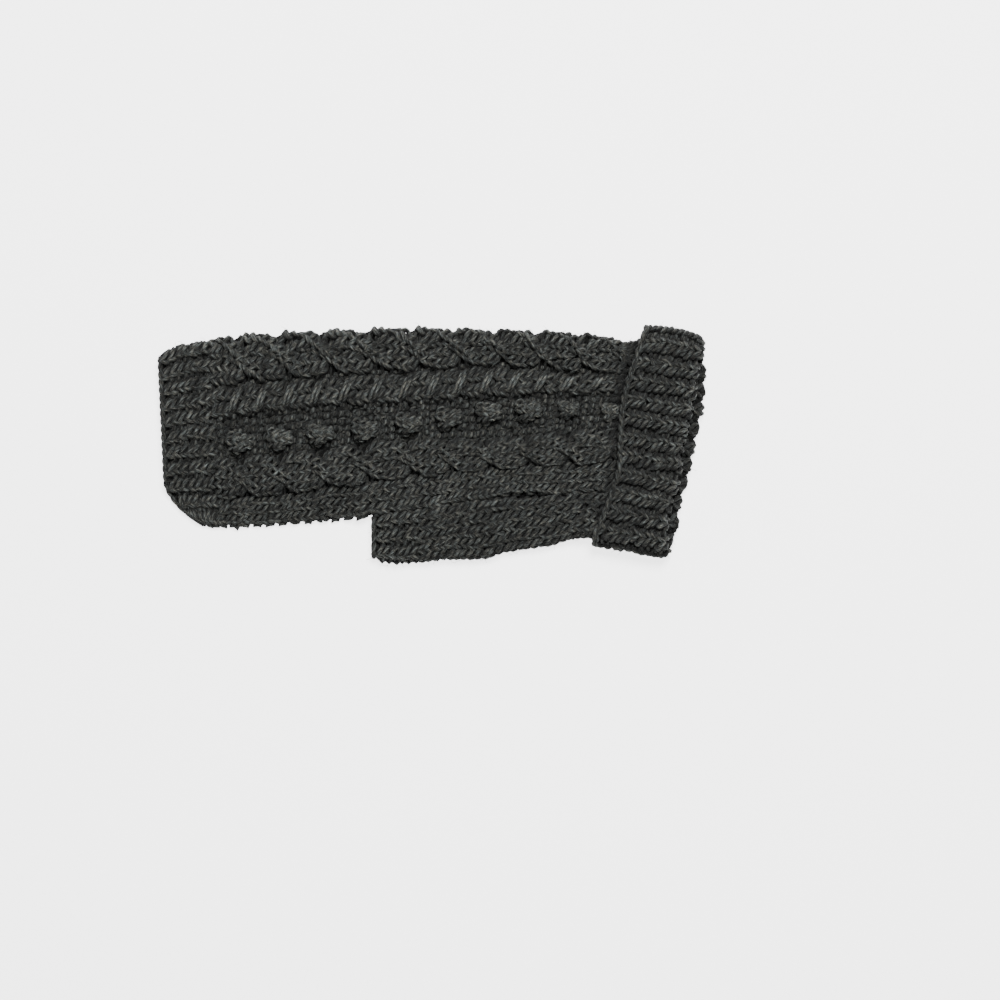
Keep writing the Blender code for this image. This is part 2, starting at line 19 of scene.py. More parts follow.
import bpy
import numpy as np
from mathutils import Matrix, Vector


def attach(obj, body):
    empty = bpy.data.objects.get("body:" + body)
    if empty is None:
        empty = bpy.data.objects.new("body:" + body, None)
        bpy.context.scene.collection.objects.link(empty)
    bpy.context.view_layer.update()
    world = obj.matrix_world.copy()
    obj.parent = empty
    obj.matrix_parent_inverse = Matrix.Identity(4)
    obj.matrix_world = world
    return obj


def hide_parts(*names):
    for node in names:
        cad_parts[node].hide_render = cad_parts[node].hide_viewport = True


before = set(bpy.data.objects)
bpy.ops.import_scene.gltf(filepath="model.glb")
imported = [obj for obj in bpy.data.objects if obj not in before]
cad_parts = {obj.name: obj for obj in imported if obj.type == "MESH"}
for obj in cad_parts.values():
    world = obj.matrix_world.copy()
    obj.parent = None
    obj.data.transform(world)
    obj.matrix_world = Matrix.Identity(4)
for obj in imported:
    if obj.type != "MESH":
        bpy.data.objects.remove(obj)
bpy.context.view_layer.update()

MM = 0.001
BODY = "root"
TINY = 1e-6        # keeps a length from being 0
PROBE = 0.1        # millimetres off the cloth, to find the way out of it
Array = np.ndarray
Line = Callable[[Array], Array]
Lie = tuple[Array, Array, Array]
Colour = tuple[float, float, float]
Levels = tuple[float, float, float | None]

log = logging.getLogger("dog_sweater")


# ------------------------------------------------------------ lines of the sweater, as the solids have them

class BackStation(NamedTuple):
    """One course of the back panel: where it crosses each line of the pattern."""

    course: float
    spine_x: float
    edge_x: float
    spine_y: float
    rope_y: float
    mock_y: float
    bobble_y: float
    side_y: float
    plain_y: float
    edge_y: float
    far_y: float


BACK = (
    BackStation(0.0, -173.3, -168.2, 58.6, 32.0, 14.0, 1.3, -8.0, -32.0, -49.8, -22.0),
    BackStation(3.0, -160.3, -155.3, 64.6, 33.4, 15.3, 1.3, -8.9, -33.2, -50.4, -22.4),
    BackStation(7.0, -143.0, -138.0, 67.6, 35.3, 17.0, 1.3, -10.1, -34.7, -51.0, -23.0),
    BackStation(23.2, -71.8, -71.9, 71.8, 42.8, 23.9, 6.9, -4.4, -29.0, -47.9, -20.0),
    BackStation(35.2, -14.5, -18.5, 73.7, 46.0, 27.1, 13.5, 2.5, -21.4, -42.2, -14.0),
    BackStation(47.2, 37.8, 30.0, 72.5, 49.8, 30.9, 20.8, 2.5, -16.4, -34.7, -7.0),
    BackStation(59.2, 90.1, 78.4, 70.6, 46.6, 32.1, 22.7, 7.6, -13.2, -31.2, -3.0),
    BackStation(65.5, 119.1, 105.0, 67.6, 45.6, 32.9, 21.4, 9.4, -11.7, -30.3, -2.2),
    BackStation(70.0, 139.9, 124.1, 72.2, 45.0, 33.4, 22.7, 10.7, -10.7, -29.6, -1.6),
)


class BellyStation(NamedTuple):
    """One place along the belly panel and the outermost line of its fold."""

    x: float
    fold_y: float


BELLY = (
    BellyStation(-39.1, -71.2),
    BellyStation(-30.9, -74.0),
    BellyStation(-20.8, -74.8),
    BellyStation(8.2, -72.0),
    BellyStation(35.9, -70.6),
    BellyStation(44.1, -67.5),
    BellyStation(73.7, -63.0),
    BellyStation(88.0, -58.6),
    BellyStation(124.0, -60.6),
)


class NeckStation(NamedTuple):
    """One rib of the roll neck, at its share of the way from the spine to the belly."""

    share: float
    edge_x: float
    fold_x: float
    far_fold_x: float


NECK = (
    NeckStation(0.0, 133.6, 169.5, 170.7),
    NeckStation(0.12, 126.0, 166.3, 172.0),
    NeckStation(0.3, 119.1, 163.2, 170.2),
    NeckStation(0.5, 116.6, 157.5, 165.1),
    NeckStation(0.66, 116.2, 155.0, 161.0),
    NeckStation(0.8, 110.9, 149.3, 156.2),
    NeckStation(0.92, 105.5, 147.6, 154.3),
    NeckStation(1.0, 100.8, 146.6, 149.6),
)


def smooth(value: Array, low: float, high: float) -> Array:
    """0 below low, 1 above high, and an even curve between."""
    share = np.clip((value - low) / (high - low), 0.0, 1.0)
    return share * share * (3.0 - 2.0 * share)


def mix(first: Array, second: Array, share: Array) -> Array:
    """The value at a share of the way from the first to the second."""
    return first + (second - first) * share


class Column:
    """A smooth curve through one column of a table."""

    def __init__(self, table: tuple, key: str, column: str) -> None:
        """Read the column's values and give each a slope.

        Args:
            table: Rows with named columns.
            key: Column that gives each row's place.
            column: Column to read.
        """
        self.places = np.array([getattr(row, key) for row in table], float)
        self.values = np.array([getattr(row, column) for row in table], float)
        slopes = np.diff(self.values) / np.diff(self.places)
        self.slopes = np.concatenate((slopes[:1], (slopes[1:] + slopes[:-1]) / 2, slopes[-1:]))

    def __call__(self, place: Array) -> Array:
        """The column's value at each place, level past the table's ends.

        Args:
            place: Values of the key column.

        Returns:
            This column's values there.
        """
        i = np.clip(np.searchsorted(self.places, place, side="right") - 1, 0, len(self.places) - 2)
        span = self.places[i + 1] - self.places[i]
        t = np.clip((place - self.places[i]) / span, 0.0, 1.0)
        return (
            (2 * t ** 3 - 3 * t ** 2 + 1) * self.values[i]
            + (t ** 3 - 2 * t ** 2 + t) * span * self.slopes[i]
            + (3 * t ** 2 - 2 * t ** 3) * self.values[i + 1]
            + (t ** 3 - t ** 2) * span * self.slopes[i + 1]
        )


def columns(table: tuple, key: str) -> dict[str, Column]:
    """A curve through every column of a table, by the column's name."""
    return {name: Column(table, key, name) for name in table[0]._fields}


def level(distance: float) -> Line:
    """A line that stays at one distance across."""
    def line(course: Array) -> Array:
        """The same distance at each course."""
        return distance + 0.0 * course
    return line


@dataclass(frozen=True)
class Layers:
    """Thickness of the cloth and the heights of its layers."""

    wall: float = 3.6
    turned_wall: float = 3.4
    gap: float = 0.3

    @property
    def outer(self) -> float:
        """From the middle plane to the outer face of one body layer."""
        return self.gap / 2 + self.wall

    @property
    def middle(self) -> float:
        """From the middle plane to the middle of one body layer."""
        return self.gap / 2 + self.wall / 2

    @property
    def turned_outer(self) -> float:
        """From the middle plane to the outer face of the turned-down layer."""
        return self.outer + self.gap + self.turned_wall

    @property
    def turned_middle(self) -> float:
        """From the middle plane to the middle of the turned-down layer."""
        return self.turned_outer - self.turned_wall / 2


@dataclass(frozen=True)
class SweaterForm:
    """The laid-out sweater's lines and heights."""

    layers: Layers = Layers()
    courses: float = 70.0
    belly_courses: float = 35.0
    rope_rise: float = 3.0
    rise_length: float = 20.0      # the body climbs onto the turned-down layer over this length
    rise_end: float = 5.0          # and is up this far before the layer's edge
    drape_width: float = 12.0      # the near half hangs down over this width past the far edge
    drape_start: float = 3.0       # and starts to this far before the belly panel's hem
    drape_end: float = 20.0        # until it hangs fully
    relief_end: float = 5.0        # the pattern is pressed flat this far before the roll neck's edge
    relief_fade: float = 8.0
    shadow_depth: float = 0.72     # painted shadow: the wool's colour is darker by this much beside the roll neck
    shadow_reach: float = 8.0
    shadow_end: float = 1.0
    slit_start: float = 34.6
    slit_end: float = 76.9
    slit_half_width: float = 1.6
    corner_sweep: float = 22.0     # the hem's corner runs back by this much
    corner_start: float = 0.75     # from this share of the near half's width
    corner_courses: float = 12.0
    neck_edge_y: tuple[float, float] = (74.3, -62.8)
    neck_fold_y: tuple[float, float] = (67.4, -71.4)
    edge_points: int = 281
    back: dict[str, Column] = field(default_factory=partial(columns, BACK, "course"))
    belly: dict[str, Column] = field(default_factory=partial(columns, BELLY, "x"))
    neck: dict[str, Column] = field(default_factory=partial(columns, NECK, "share"))

    def neck_line_x(self, y: Array) -> Array:
        """The straight seam where the body ends and the roll neck starts.

        Args:
            y: Places across.

        Returns:
            The seam's places along.
        """
        last = BACK[-1]
        slope = (last.spine_x - last.edge_x) / (last.spine_y - last.edge_y)
        return last.edge_x + (y - last.edge_y) * slope

    def before_neck_edge(self, x: Array, y: Array) -> Array:
        """Distance along X past the roll neck's turned-down edge, negative before it."""
        top, bottom = self.neck_edge_y
        return x - self.neck["edge_x"](np.clip((y - top) / (bottom - top), 0.0, 1.0))

    def middle_height(self, x: Array, y: Array) -> Array:
        """Height of the plane between the body's two layers, which climbs onto the turned-down layer."""
        climb = smooth(self.before_neck_edge(x, y), -self.rise_end - self.rise_length, -self.rise_end)
        return mix(self.layers.outer, self.layers.turned_outer, climb)

    def pattern_share(self, x: Array, y: Array) -> Array:
        """How far the raised pattern stands up: it is pressed flat under the roll neck."""
        before = self.before_neck_edge(x, y)
        return 1.0 - smooth(before, -self.relief_end - self.relief_fade, -self.relief_end)

    def neck_shadow(self, x: Array, y: Array) -> Array:
        """The wool's tone near the roll neck's turned-down edge, which shades the body."""
        near = smooth(self.before_neck_edge(x, y), -self.shadow_reach, -self.shadow_end)
        return 1.0 - self.shadow_depth * near

    def drape(self, x: Array, y: Array) -> Array:
        """How far the near half hangs down past the far half's edge, where no belly panel carries it.

        Args:
            x: Places along.
            y: Places across.

        Returns:
            The depths.
        """
        past = smooth(self.edge_y(x, "far_y") - y, 0.0, self.drape_width)
        beside = smooth(BELLY[0].x - x, self.drape_start, self.drape_end)
        return (self.layers.wall + self.layers.gap) * past * beside

    def slit(self, x: Array) -> Array:
        """Half the width of the leg slit at a place along the seam.

        Args:
            x: Places along.

        Returns:
            Half the widths, 0 where the seam is closed.
        """
        middle = (self.slit_start + self.slit_end) / 2
        reach = (x - middle) / ((self.slit_end - self.slit_start) / 2)
        return self.slit_half_width * np.sqrt(np.maximum(0.0, 1.0 - reach * reach))

    def course_x(self, course: Array, y: Array) -> Array:
        """Where a course of the back panel crosses a place across.

        Args:
            course: Courses, from the tail end.
            y: Places across.

        Returns:
            The places along.
        """
        spine_y, edge_y = self.back["spine_y"](course), self.back["edge_y"](course)
        share = (spine_y - y) / (spine_y - edge_y)
        past = np.maximum(0.0, share - self.corner_start) / (1.0 - self.corner_start)
        sweep = self.corner_sweep * np.maximum(0.0, 1.0 - course / self.corner_courses) ** 2
        return mix(self.back["spine_x"](course), self.back["edge_x"](course), share) + sweep * past * past

    def edge_y(self, x: Array, column: str) -> Array:
        """Where the back panel's near or far edge is.

        Args:
            x: Places along.
            column: The edge's column in the table.

        Returns:
            The edge's places across.
        """
        course = np.linspace(0.0, self.courses, self.edge_points)
        edge = self.back[column](course)
        return np.interp(x, self.course_x(course, edge), edge)

    def belly_x(self, course: Array, y: Array) -> Array:
        """A course of the belly panel: upright at its hem, along the neck seam at its end."""
        return mix(BELLY[0].x, self.neck_line_x(y), course / self.belly_courses)


# ---------------------------------------------------------------- cloth: from courses and wales to places

class Cloth(abc.ABC):
    """A piece of cloth: a course, a distance across it and a height on it give a place."""

    hand: float = 1.0

    @abc.abstractmethod
    def place(self, course: Array, across: Array, height: Array) -> Array:
        """Places on the cloth, an array with X, Y and Z last."""

    def line(self, course: Array, across: Array, height: Array) -> tuple[Array, Array]:
        """Lay a line on the cloth.

        Args:
            course: Along the cloth.
            across: Distance across.
            height: Outwards from the middle of the cloth's thickness.

        Returns:
            The line's points, and the way out of the cloth at each.
        """
        points = self.place(course, across, height)
        out = self.place(course, across, height + PROBE) - points
        out /= np.maximum(np.linalg.norm(out, axis=-1, keepdims=True), TINY)
        return points.reshape(-1, 3), out.reshape(-1, 3)


@dataclass
class FoldedCloth(Cloth):
    """A panel folded along its length, with a near half, a rounded fold and a far half.

    Distances across are counted along Y on the near half, towards the fold, and run on around it.
    """

    form: SweaterForm
    side: float
    fold_y: Line
    near_edge: Line
    far_edge: Line
    x_of: Callable[[Array, Array], Array]
    pressed: float = 0.25      # share of the stitches' relief that stays on the half that rests
    sink: float = 0.45         # and the depth by which its yarn lies further in
    rest: float = 1.45         # the yarn's middle hardly comes nearer to the surface than this
    give: float = 0.1          # share of a deeper place that stays
    far_turn: tuple[float, float] = (0.45, 0.8)    # shares of the fold over which the far half begins

    def __post_init__(self) -> None:
        """A fold at the belly turns the other way round."""
        self.hand = self.side

    @property
    def around(self) -> float:
        """Length around the fold, on the cloth's outer face."""
        return math.pi * self.form.layers.outer

    def fold(self, course: Array) -> Array:
        """Distance across at which the fold starts."""
        return self.side * self.fold_y(course)

    def middle(self, course: Array) -> Array:
        """Distance across of the fold's outermost line."""
        return self.fold(course) + self.around * 0.5

    def start(self, course: Array) -> Array:
        """Distance across of the near edge."""
        return self.side * self.near_edge(course)

    def end(self, course: Array) -> Array:
        """Distance across of the far edge."""
        return 2 * self.fold(course) + self.around - self.side * self.far_edge(course)

    def place(self, course: Array, across: Array, height: Array) -> Array:
        """Places on the folded cloth.

        Args:
            course: Counted from the tail end.
            across: Distance across, run on around the fold.
            height: Outwards from the middle of the cloth's thickness.

        Returns:
            The places, with X, Y and Z last.
        """
        fold = self.fold(course)
        over = across - fold
        turn = np.clip(over / self.form.layers.outer, 0.0, math.pi)
        low, high = self.far_turn
        back_half = smooth(turn, math.pi * low, math.pi * high)
        reach = self.form.layers.middle + height * mix(1.0, self.pressed, back_half) - self.sink * back_half
        past = np.maximum(over - self.around, 0.0)
        y = self.side * (fold + np.minimum(over, 0.0) + reach * np.sin(turn) - past)
        x = self.x_of(course, y)
        hang = self.form.drape(x, y) * (1.0 - smooth(turn, 0.0, math.pi / 2))
        z = self.form.middle_height(x, y) + reach * np.cos(turn) - hang
        z = np.where(z < self.rest, mix(self.rest, z, self.give), z)
        return np.stack(np.broadcast_arrays(x, y, z), axis=-1)


@dataclass
class NeckCloth(Cloth):
    """The roll neck: courses run from its inner layer over the fold to the turned-down edge.

    Distances across are counted in wales from the spine, down the near half and back up the far half.
    """

    form: SweaterForm
    wales: float = 48.0
    first_wale: float = -0.64  # the first wale lies this much before the spine
    face_courses: float = 10.2
    fold_courses: float = 1.6
    inner_pitch: float = 3.9   # course height inside
    outer_fold: float = 3.65   # from the fold's middle to its outermost line
    far_setback: float = 2.0   # of the hidden turned-down edge
    pressed: float = 0.25
    sink: float = 0.65
    spine_slant: float = 2.6   # the cast-off edge slants by this much in the fold at the spine
    spine_bulge: float = 2.0   # and the fold there bulges by this much between its ends
    spine_end: float = 0.12    # share of the way to the belly over which both fade
    resting_side: tuple[float, float] = (0.0, 0.8)     # how far down a place faces where it rests
    resting_turn: tuple[float, float] = (1.3, 2.2)     # and the angle around the fold where that ends

    @property
    def courses(self) -> float:
        """Courses that are knitted on the outer face and around the fold."""
        return self.face_courses + self.fold_courses

    def ring(self, across: Array) -> tuple[Array, Array, Array]:
        """Where a wale lies on the flattened ring.

        Args:
            across: Wale, from the outermost line of the spine's end.

        Returns:
            Share of the way to the belly, and the shares of an offset that go out along Y and up.
        """
        top, bottom = self.form.neck_edge_y
        outer = self.form.layers.turned_outer
        flat = top - bottom - 2 * outer
        quarter = math.pi / 2 * self.form.layers.turned_middle
        length = np.mod(across / self.wales, 1.0) * (2 * flat + 4 * quarter)
        legs = np.array([0.0, quarter, quarter + flat, 3 * quarter + flat, 3 * quarter + 2 * flat,
                         4 * quarter + 2 * flat])
        rib = np.interp(length, legs, [0.0, 0.0, 1.0, 1.0, 0.0, 0.0])
        angle = np.interp(length, legs, [0.0, 90.0, 90.0, 270.0, 270.0, 360.0])
        turn = np.radians(angle)
        return rib, np.cos(turn), np.sin(turn)

    def place(self, course: Array, across: Array, height: Array) -> Array:
        """Places on the roll neck.

        Args:
            course: 0 at the turned-down edge and negative back from it, over the fold and inside.
            across: Wale around the ring.
            height: Outwards on the turned-down layer, and inwards to the hollow on the inner layer.

        Returns:
            The places, with X, Y and Z last.
        """
        rib, out, up = self.ring(across)
        far = np.clip(0.5 - up, 0.0, 1.0)
        layers = self.form.layers
        inset = np.array([-layers.turned_outer, layers.turned_outer])
        at_spine = np.clip(1.0 - rib / self.spine_end, 0.0, 1.0)
        edge_x = self.form.neck["edge_x"](rib) + far * self.far_setback * np.sin(math.pi * rib)
        edge_x = edge_x - self.spine_slant * at_spine * (1.0 - np.maximum(out, 0.0))
        fold_x = mix(self.form.neck["fold_x"](rib), self.form.neck["far_fold_x"](rib), far)
        edge_y = mix(*(np.array(self.form.neck_edge_y) + inset), rib)
        fold_y = mix(*(np.array(self.form.neck_fold_y) + inset), rib)
        length = np.hypot(fold_x - edge_x, fold_y - edge_y)

        back = -course
        face = length - self.outer_fold
        turned = np.clip((back - self.face_courses) / self.fold_courses, 0.0, 1.0) * math.pi
        inner = np.maximum(back - self.face_courses - self.fold_courses, 0.0) * self.inner_pitch
        radius = (layers.turned_middle - layers.middle) / 2
        resting = smooth(-up, *self.resting_side) * (1.0 - smooth(turned, *self.resting_turn))
        reach = radius + height * mix(1.0, self.pressed, resting) - self.sink * resting
        distance = np.minimum(back / self.face_courses, 1.0) * face + reach * np.sin(turned) - inner
        offset = (layers.turned_middle + layers.middle) / 2 + reach * np.cos(turned)
        share = distance / length
        x = mix(edge_x, fold_x, share)
        y = mix(edge_y, fold_y, share) + out * offset
        y = y + self.spine_bulge * at_spine * np.sin(math.pi * np.clip(share, 0.0, 1.0))
        z = layers.turned_outer + up * offset
        return np.stack(np.broadcast_arrays(x, y, z), axis=-1)


@dataclass
class BobbleCloth(Cloth):
    """The small dome of one bobble; courses and distances across both run from -1 to 1."""

    centre: Array
    radius: float
    rise: float
    rim: float = 0.03          # the dome is no lower than the root of this at its rim

    def place(self, course: Array, across: Array, height: Array) -> Array:
        """Places on the dome.

        Args:
            course: Along the panel, -1 to 1.
            across: Across the panel, -1 to 1.
            height: Outwards from the dome.

        Returns:
            The places, with X, Y and Z last.
        """
        p, q = np.clip(course, -1.0, 1.0), np.clip(across, -1.0, 1.0)
        x, y = p * np.sqrt(1 - q * q / 2), q * np.sqrt(1 - p * p / 2)
        dome = np.sqrt(np.maximum(self.rim, 1.0 - x * x - y * y))
        normal = np.stack((x / self.radius, y / self.radius, dome / self.rise), axis=-1)
        normal /= np.linalg.norm(normal, axis=-1, keepdims=True)
        points = np.stack((x * self.radius, y * self.radius, dome * self.rise), axis=-1)
        return self.centre + points + normal * height[..., None]


# ---------------------------------------------------------------- stitches

class Stitch(enum.Enum):
    """How the wales of a band are worked."""

    KNIT = "knit"
    PURL = "purl"
    RIB = "rib"


@dataclass(frozen=True)
class Cable:
    """Two strands of wales that change places again and again, one always passing in front.

    Places along are in courses. The upper strand passes in front to the lower side where down is True.
    """

    first: float
    pitch: float
    cross: float
    rise: float
    down: bool
    lean: float = 0.0          # crossings come this many courses earlier at the top edge
    dome: float = 0.58         # half the width of a strand, where a cable's half width is 1
    front_lift: float = 0.35   # shares of the rise by which the front strand climbs at a crossing
    back_drop: float = 0.7     # and the back strand sinks
    settle: int = 5            # rounds in which a leaning strand's place is found
    edge_tone: float = 0.78    # painted shade: the wool's colour is darker in the furrows between the strands
    front_tone: float = 0.16   # painted light: the front strand's colour is lighter at a crossing
    back_tone: float = 0.35    # painted shade: the back strand's colour is darker there
    pinch: float = 0.0         # depth of the dips at both ends of a crossing
    pinch_place: float = 1.25  # courses from the crossing's middle
    pinch_width: float = 0.45
    # painted shade: the wool's colour is darker by this share in the dips
    pinch_tone: float = 0.55
    skew: float = 0.0          # a strand is fuller after a crossing at the top edge, before it at the other

    def trace(self, index: Array, wales: int, course: Array, across: Array) -> tuple[Array, Array, Array]:
        """Follow wales of the cable.

        Args:
            index: Wale, from the cable's lower edge.
            wales: Number of wales in the cable.
            course: Places along.
            across: The yarn's distance from the wale's middle, in wales.

        Returns:
            Each wale's place across, -1 to 1, the yarn's rise and its tone, which holds painted light and
            shade.
        """
        strand = wales // 2
        upper = index >= strand
        local = (index % strand - (strand - 1) / 2) / strand
        place = local
        for _ in range(self.settle):
            leaning = course + self.lean * place - self.first
            turn = np.round(leaning / self.pitch)
            offset = leaning - turn * self.pitch
            share = smooth(offset, -self.cross, self.cross)
            leaves_top = upper == (turn % 2 == 0)
            place = np.where(leaves_top, 0.5 - share, share - 0.5) + local
        lift = np.maximum(0.0, 1.0 - (offset / self.cross) ** 2)
        front = leaves_top == self.down
        height = np.where(front, 1.0 + self.front_lift * lift, 1.0 - self.back_drop * lift)
        height = height * (1.0 + self.skew * place * np.sin(2 * math.pi * offset / self.pitch))
        dome = np.sqrt(np.maximum(0.0, 1.0 - ((local + across / strand) / self.dome) ** 2))
        # painted shade and light: darker towards the strands' edges, lighter on the front strand and darker
        # on the back one at a crossing, darker in the dips
        tone = mix(self.edge_tone, 1.0, dome ** 2)
        tone = tone * np.where(front, 1.0 + self.front_tone * lift, 1.0 - self.back_tone * lift)
        dip = np.exp(-((np.abs(offset) - self.pinch_place) / self.pinch_width) ** 2) * (self.pinch > 0.0)
        return place, self.rise * height * dome - self.pinch * dip, tone * (1.0 - self.pinch_tone * dip)

    def rise_at(self, course: Array, place: Array) -> Array:
        """Height of the cable's strands.

        Args:
            course: Places along.
            place: Places across, -1 to 1.

        Returns:
            The heights, 0 beside the strands.
        """
        leaning = course + self.lean * place - self.first
        offset = leaning - np.round(leaning / self.pitch) * self.pitch
        share = smooth(offset, -self.cross, self.cross)
        lift = np.maximum(0.0, 1.0 - (offset / self.cross) ** 2)
        side = 1.0 if self.down else -1.0
        strands = ((side * (0.5 - share), 1.0 + self.front_lift * lift),
                   (side * (share - 0.5), 1.0 - self.back_drop * lift))
        heights = [height * np.sqrt(np.maximum(0.0, 1.0 - ((place - centre) / self.dome) ** 2))
                   for centre, height in strands]
        return self.rise * np.maximum(*heights)


@dataclass
class Band:
    """Neighbouring wales that are worked in one way, between two lines."""

    wales: int
    stitch: Stitch
    lower: Line
    upper: Line
    samples: int
    cable: Cable | None = None
    mirrored: bool = False     # the cable is seen from its other side
    lift: float = 0.0
    relief: float = 1.0        # share of the cable's rise that stays
    tone: float = 1.0
    knit_share: float = 0.64   # share of a rib that its knit wale takes
    rib_lifts: tuple[float, float] = (0.55, -0.75)
    # painted light and shade: the raised knit wale's colour is lighter, the sunk purl wale's darker
    rib_tones: tuple[float, float] = (1.06, 0.6)

    def trace(self, course: Array, across: Array) -> tuple[Array, Array, Array, Array, Array]:
        """Follow every wale of the band.

        Args:
            course: Places along, one column for each step of a loop.
            across: The steps' distances from a wale's middle, in wales.

        Returns:
            Centre line, width, lift, side of the yarn's bulge and tone, a row for each wale.
        """
        low, high = self.lower(course), self.upper(course)
        index = np.arange(self.wales)[:, None]
        width = (high - low) / self.wales + 0.0 * index
        lift = self.lift + 0.0 * width
        bulge = np.where(self.stitch is Stitch.PURL, -1.0, 1.0) + 0.0 * width
        share = (index + 0.5) / self.wales
        tone = self.tone + 0.0 * width
        if self.cable:
            turned = -1.0 if self.mirrored else 1.0
            wale = self.wales - 1 - index if self.mirrored else index
            place, rise, shading = self.cable.trace(wale, self.wales, course, turned * across)
            share = (1 + turned * place) / 2
            lift = lift + rise * self.relief
            tone = tone * shading
        if self.stitch is Stitch.RIB:
            knit = index % 2 == 0
            part = np.where(knit, self.knit_share, 1.0 - self.knit_share)
            share = (index // 2 + np.where(knit, part / 2, 1.0 - part / 2)) / (self.wales / 2)
            width = width * 2 * part
            lift = np.where(knit, *self.rib_lifts) + 0.0 * width
            bulge = np.where(knit, 1.0, -1.0) + 0.0 * width
            tone = tone * np.where(knit, *self.rib_tones)
        return mix(low, high, share), width, lift, bulge, tone


@dataclass(frozen=True)
class Loop:
    """The way of the yarn through one stitch, and how unevenly a hand works it."""

    reach: float = 0.28        # the loop runs this many courses past its own course at each end
    sway: float = 0.35         # sideways swing of its legs, in wales
    purl_sway: float = 0.14    # the same in a purl stitch
    bias: float = 0.52         # slant that the yarn's twist gives the stitches
    pitch: float = 4.5         # course height
    bulge: float = 1.15        # front and back swing of the yarn
    forward: float = -0.1      # of the yarn's middle, outwards
    radius: float = 1.42       # of the yarn
    fullness: float = 0.16     # the yarn is plumper where it lies in front
    full_width: float = 6.6    # in narrower wales the yarn is squeezed
    squeeze: tuple[float, float] = (0.95, 1.12)
    uneven: float = 0.1        # scatter from stitch to stitch, here along in courses
    uneven_side: float = 0.08
    uneven_height: float = 0.17
    uneven_slant: float = 0.3
    uneven_radius: float = 0.06
    uneven_tone: float = 0.15
    wander: float = 0.22       # how far a wale strays to its sides
    stray_waves: tuple[tuple[float, float], ...] = ((0.6, 2.4), (1.7, 5.1))    # along and from wale to wale
    middle_tone: float = 0.88
    shade: float = 0.4         # painted shade: how much darker the wool's colour is where the loops pass behind
    purl_head: float = 1.35    # how far a purl stitch's head stands out
    purl_feet: float = -0.1

    def purl_share(self, along: Array) -> Array:
        """In a purl stitch the loop's head stands out, and its feet lie behind it."""
        return mix(self.purl_feet, self.purl_head, smooth(along, -self.reach, 1.0 + self.reach))

    def steps(self, samples: int, stitch: Stitch) -> tuple[Array, Array, Array]:
        """One loop, from a wale's one side to its other.

        Args:
            samples: Number of points.
            stitch: How the loop is worked.

        Returns:
            The points' steps along, across and out.
        """
        t = 2 * math.pi * (np.arange(samples) + 0.5) / samples
        along = 0.5 - (0.5 + self.reach) * np.cos(t)
        sway = self.purl_sway if stitch is Stitch.PURL else self.sway
        across = t / (2 * math.pi) - 0.5 + sway * np.sin(2 * t)
        return along, across, -np.cos(2 * t)

    def stray(self, course: Array, wale: Array) -> Array:
        """How far each wale wanders off its line, from -2 to 2."""
        return sum(np.sin(along * course + beside * wale) for along, beside in self.stray_waves)


class Run(NamedTuple):
    """A length of yarn."""

    points: Array
    out: Array
    radii: Array
    tones: Array

    def back(self) -> "Run":
        """The same length from its other end."""
        return Run(*(values[::-1] for values in self))

    @staticmethod
    def even(points: Array, out: Array, radius: float, tone: float = 1.0) -> "Run":
        """A length of one radius and tone."""
        return Run(points, out, np.full(len(points), radius), np.full(len(points), tone))

    @staticmethod
    def join(runs: list["Run"]) -> "Run":
        """Several lengths, one after the other."""
        return Run(*(np.concatenate(values) for values in zip(*runs)))


@dataclass
class Yarn:
    """Lengths of yarn that are not joined to each other."""

    lines: list[Run] = field(default_factory=list)

    def add(self, run: Run) -> None:
        """Add one length."""
        self.lines.append(run)

    def joined(self) -> "Yarn":
        """The same yarn as one line from end to end."""
        return Yarn([Run.join(self.lines)])

    def split(self, count: int) -> list["Yarn"]:
        """The same yarn in several parts of neighbouring lines."""
        parts = np.array_split(np.arange(len(self.lines)), count)
        return [Yarn([self.lines[i] for i in part]) for part in parts]


@dataclass(frozen=True)
class TwistedEdge:
    """Two strands laid around each other along an edge, one turn to each two stitches."""

    stitches: int
    radius: float = 1.15       # of each strand
    swing: float = 0.75        # how far each strand swings from the middle
    scale: float = 4.5         # millimetres to a course
    lift: float = 0.25         # of their middle, outwards from the cloth's
    steps: int = 8             # points to a stitch

    def lay(self, cloth: Cloth, course: float, start: Line, end: Line) -> Yarn:
        """Lay the strands on a cloth's edge.

        Args:
            cloth: The cloth.
            course: Place of the edge along the cloth.
            start: Distance across where it starts.
            end: Distance across where it ends.

        Returns:
            The two strands.
        """
        yarn = Yarn()
        share = np.linspace(0.0, 1.0, self.stitches * self.steps + 1)
        courses = np.full_like(share, course)
        for strand in range(2):
            turn = 2 * math.pi * (share * self.stitches / 2 + strand / 2)
            place = course + self.swing * np.cos(turn) / self.scale
            across = mix(start(courses), end(courses), share)
            line = cloth.line(place, across, self.lift + self.swing * np.sin(turn))
            yarn.add(Run.even(*line, self.radius))
        return yarn


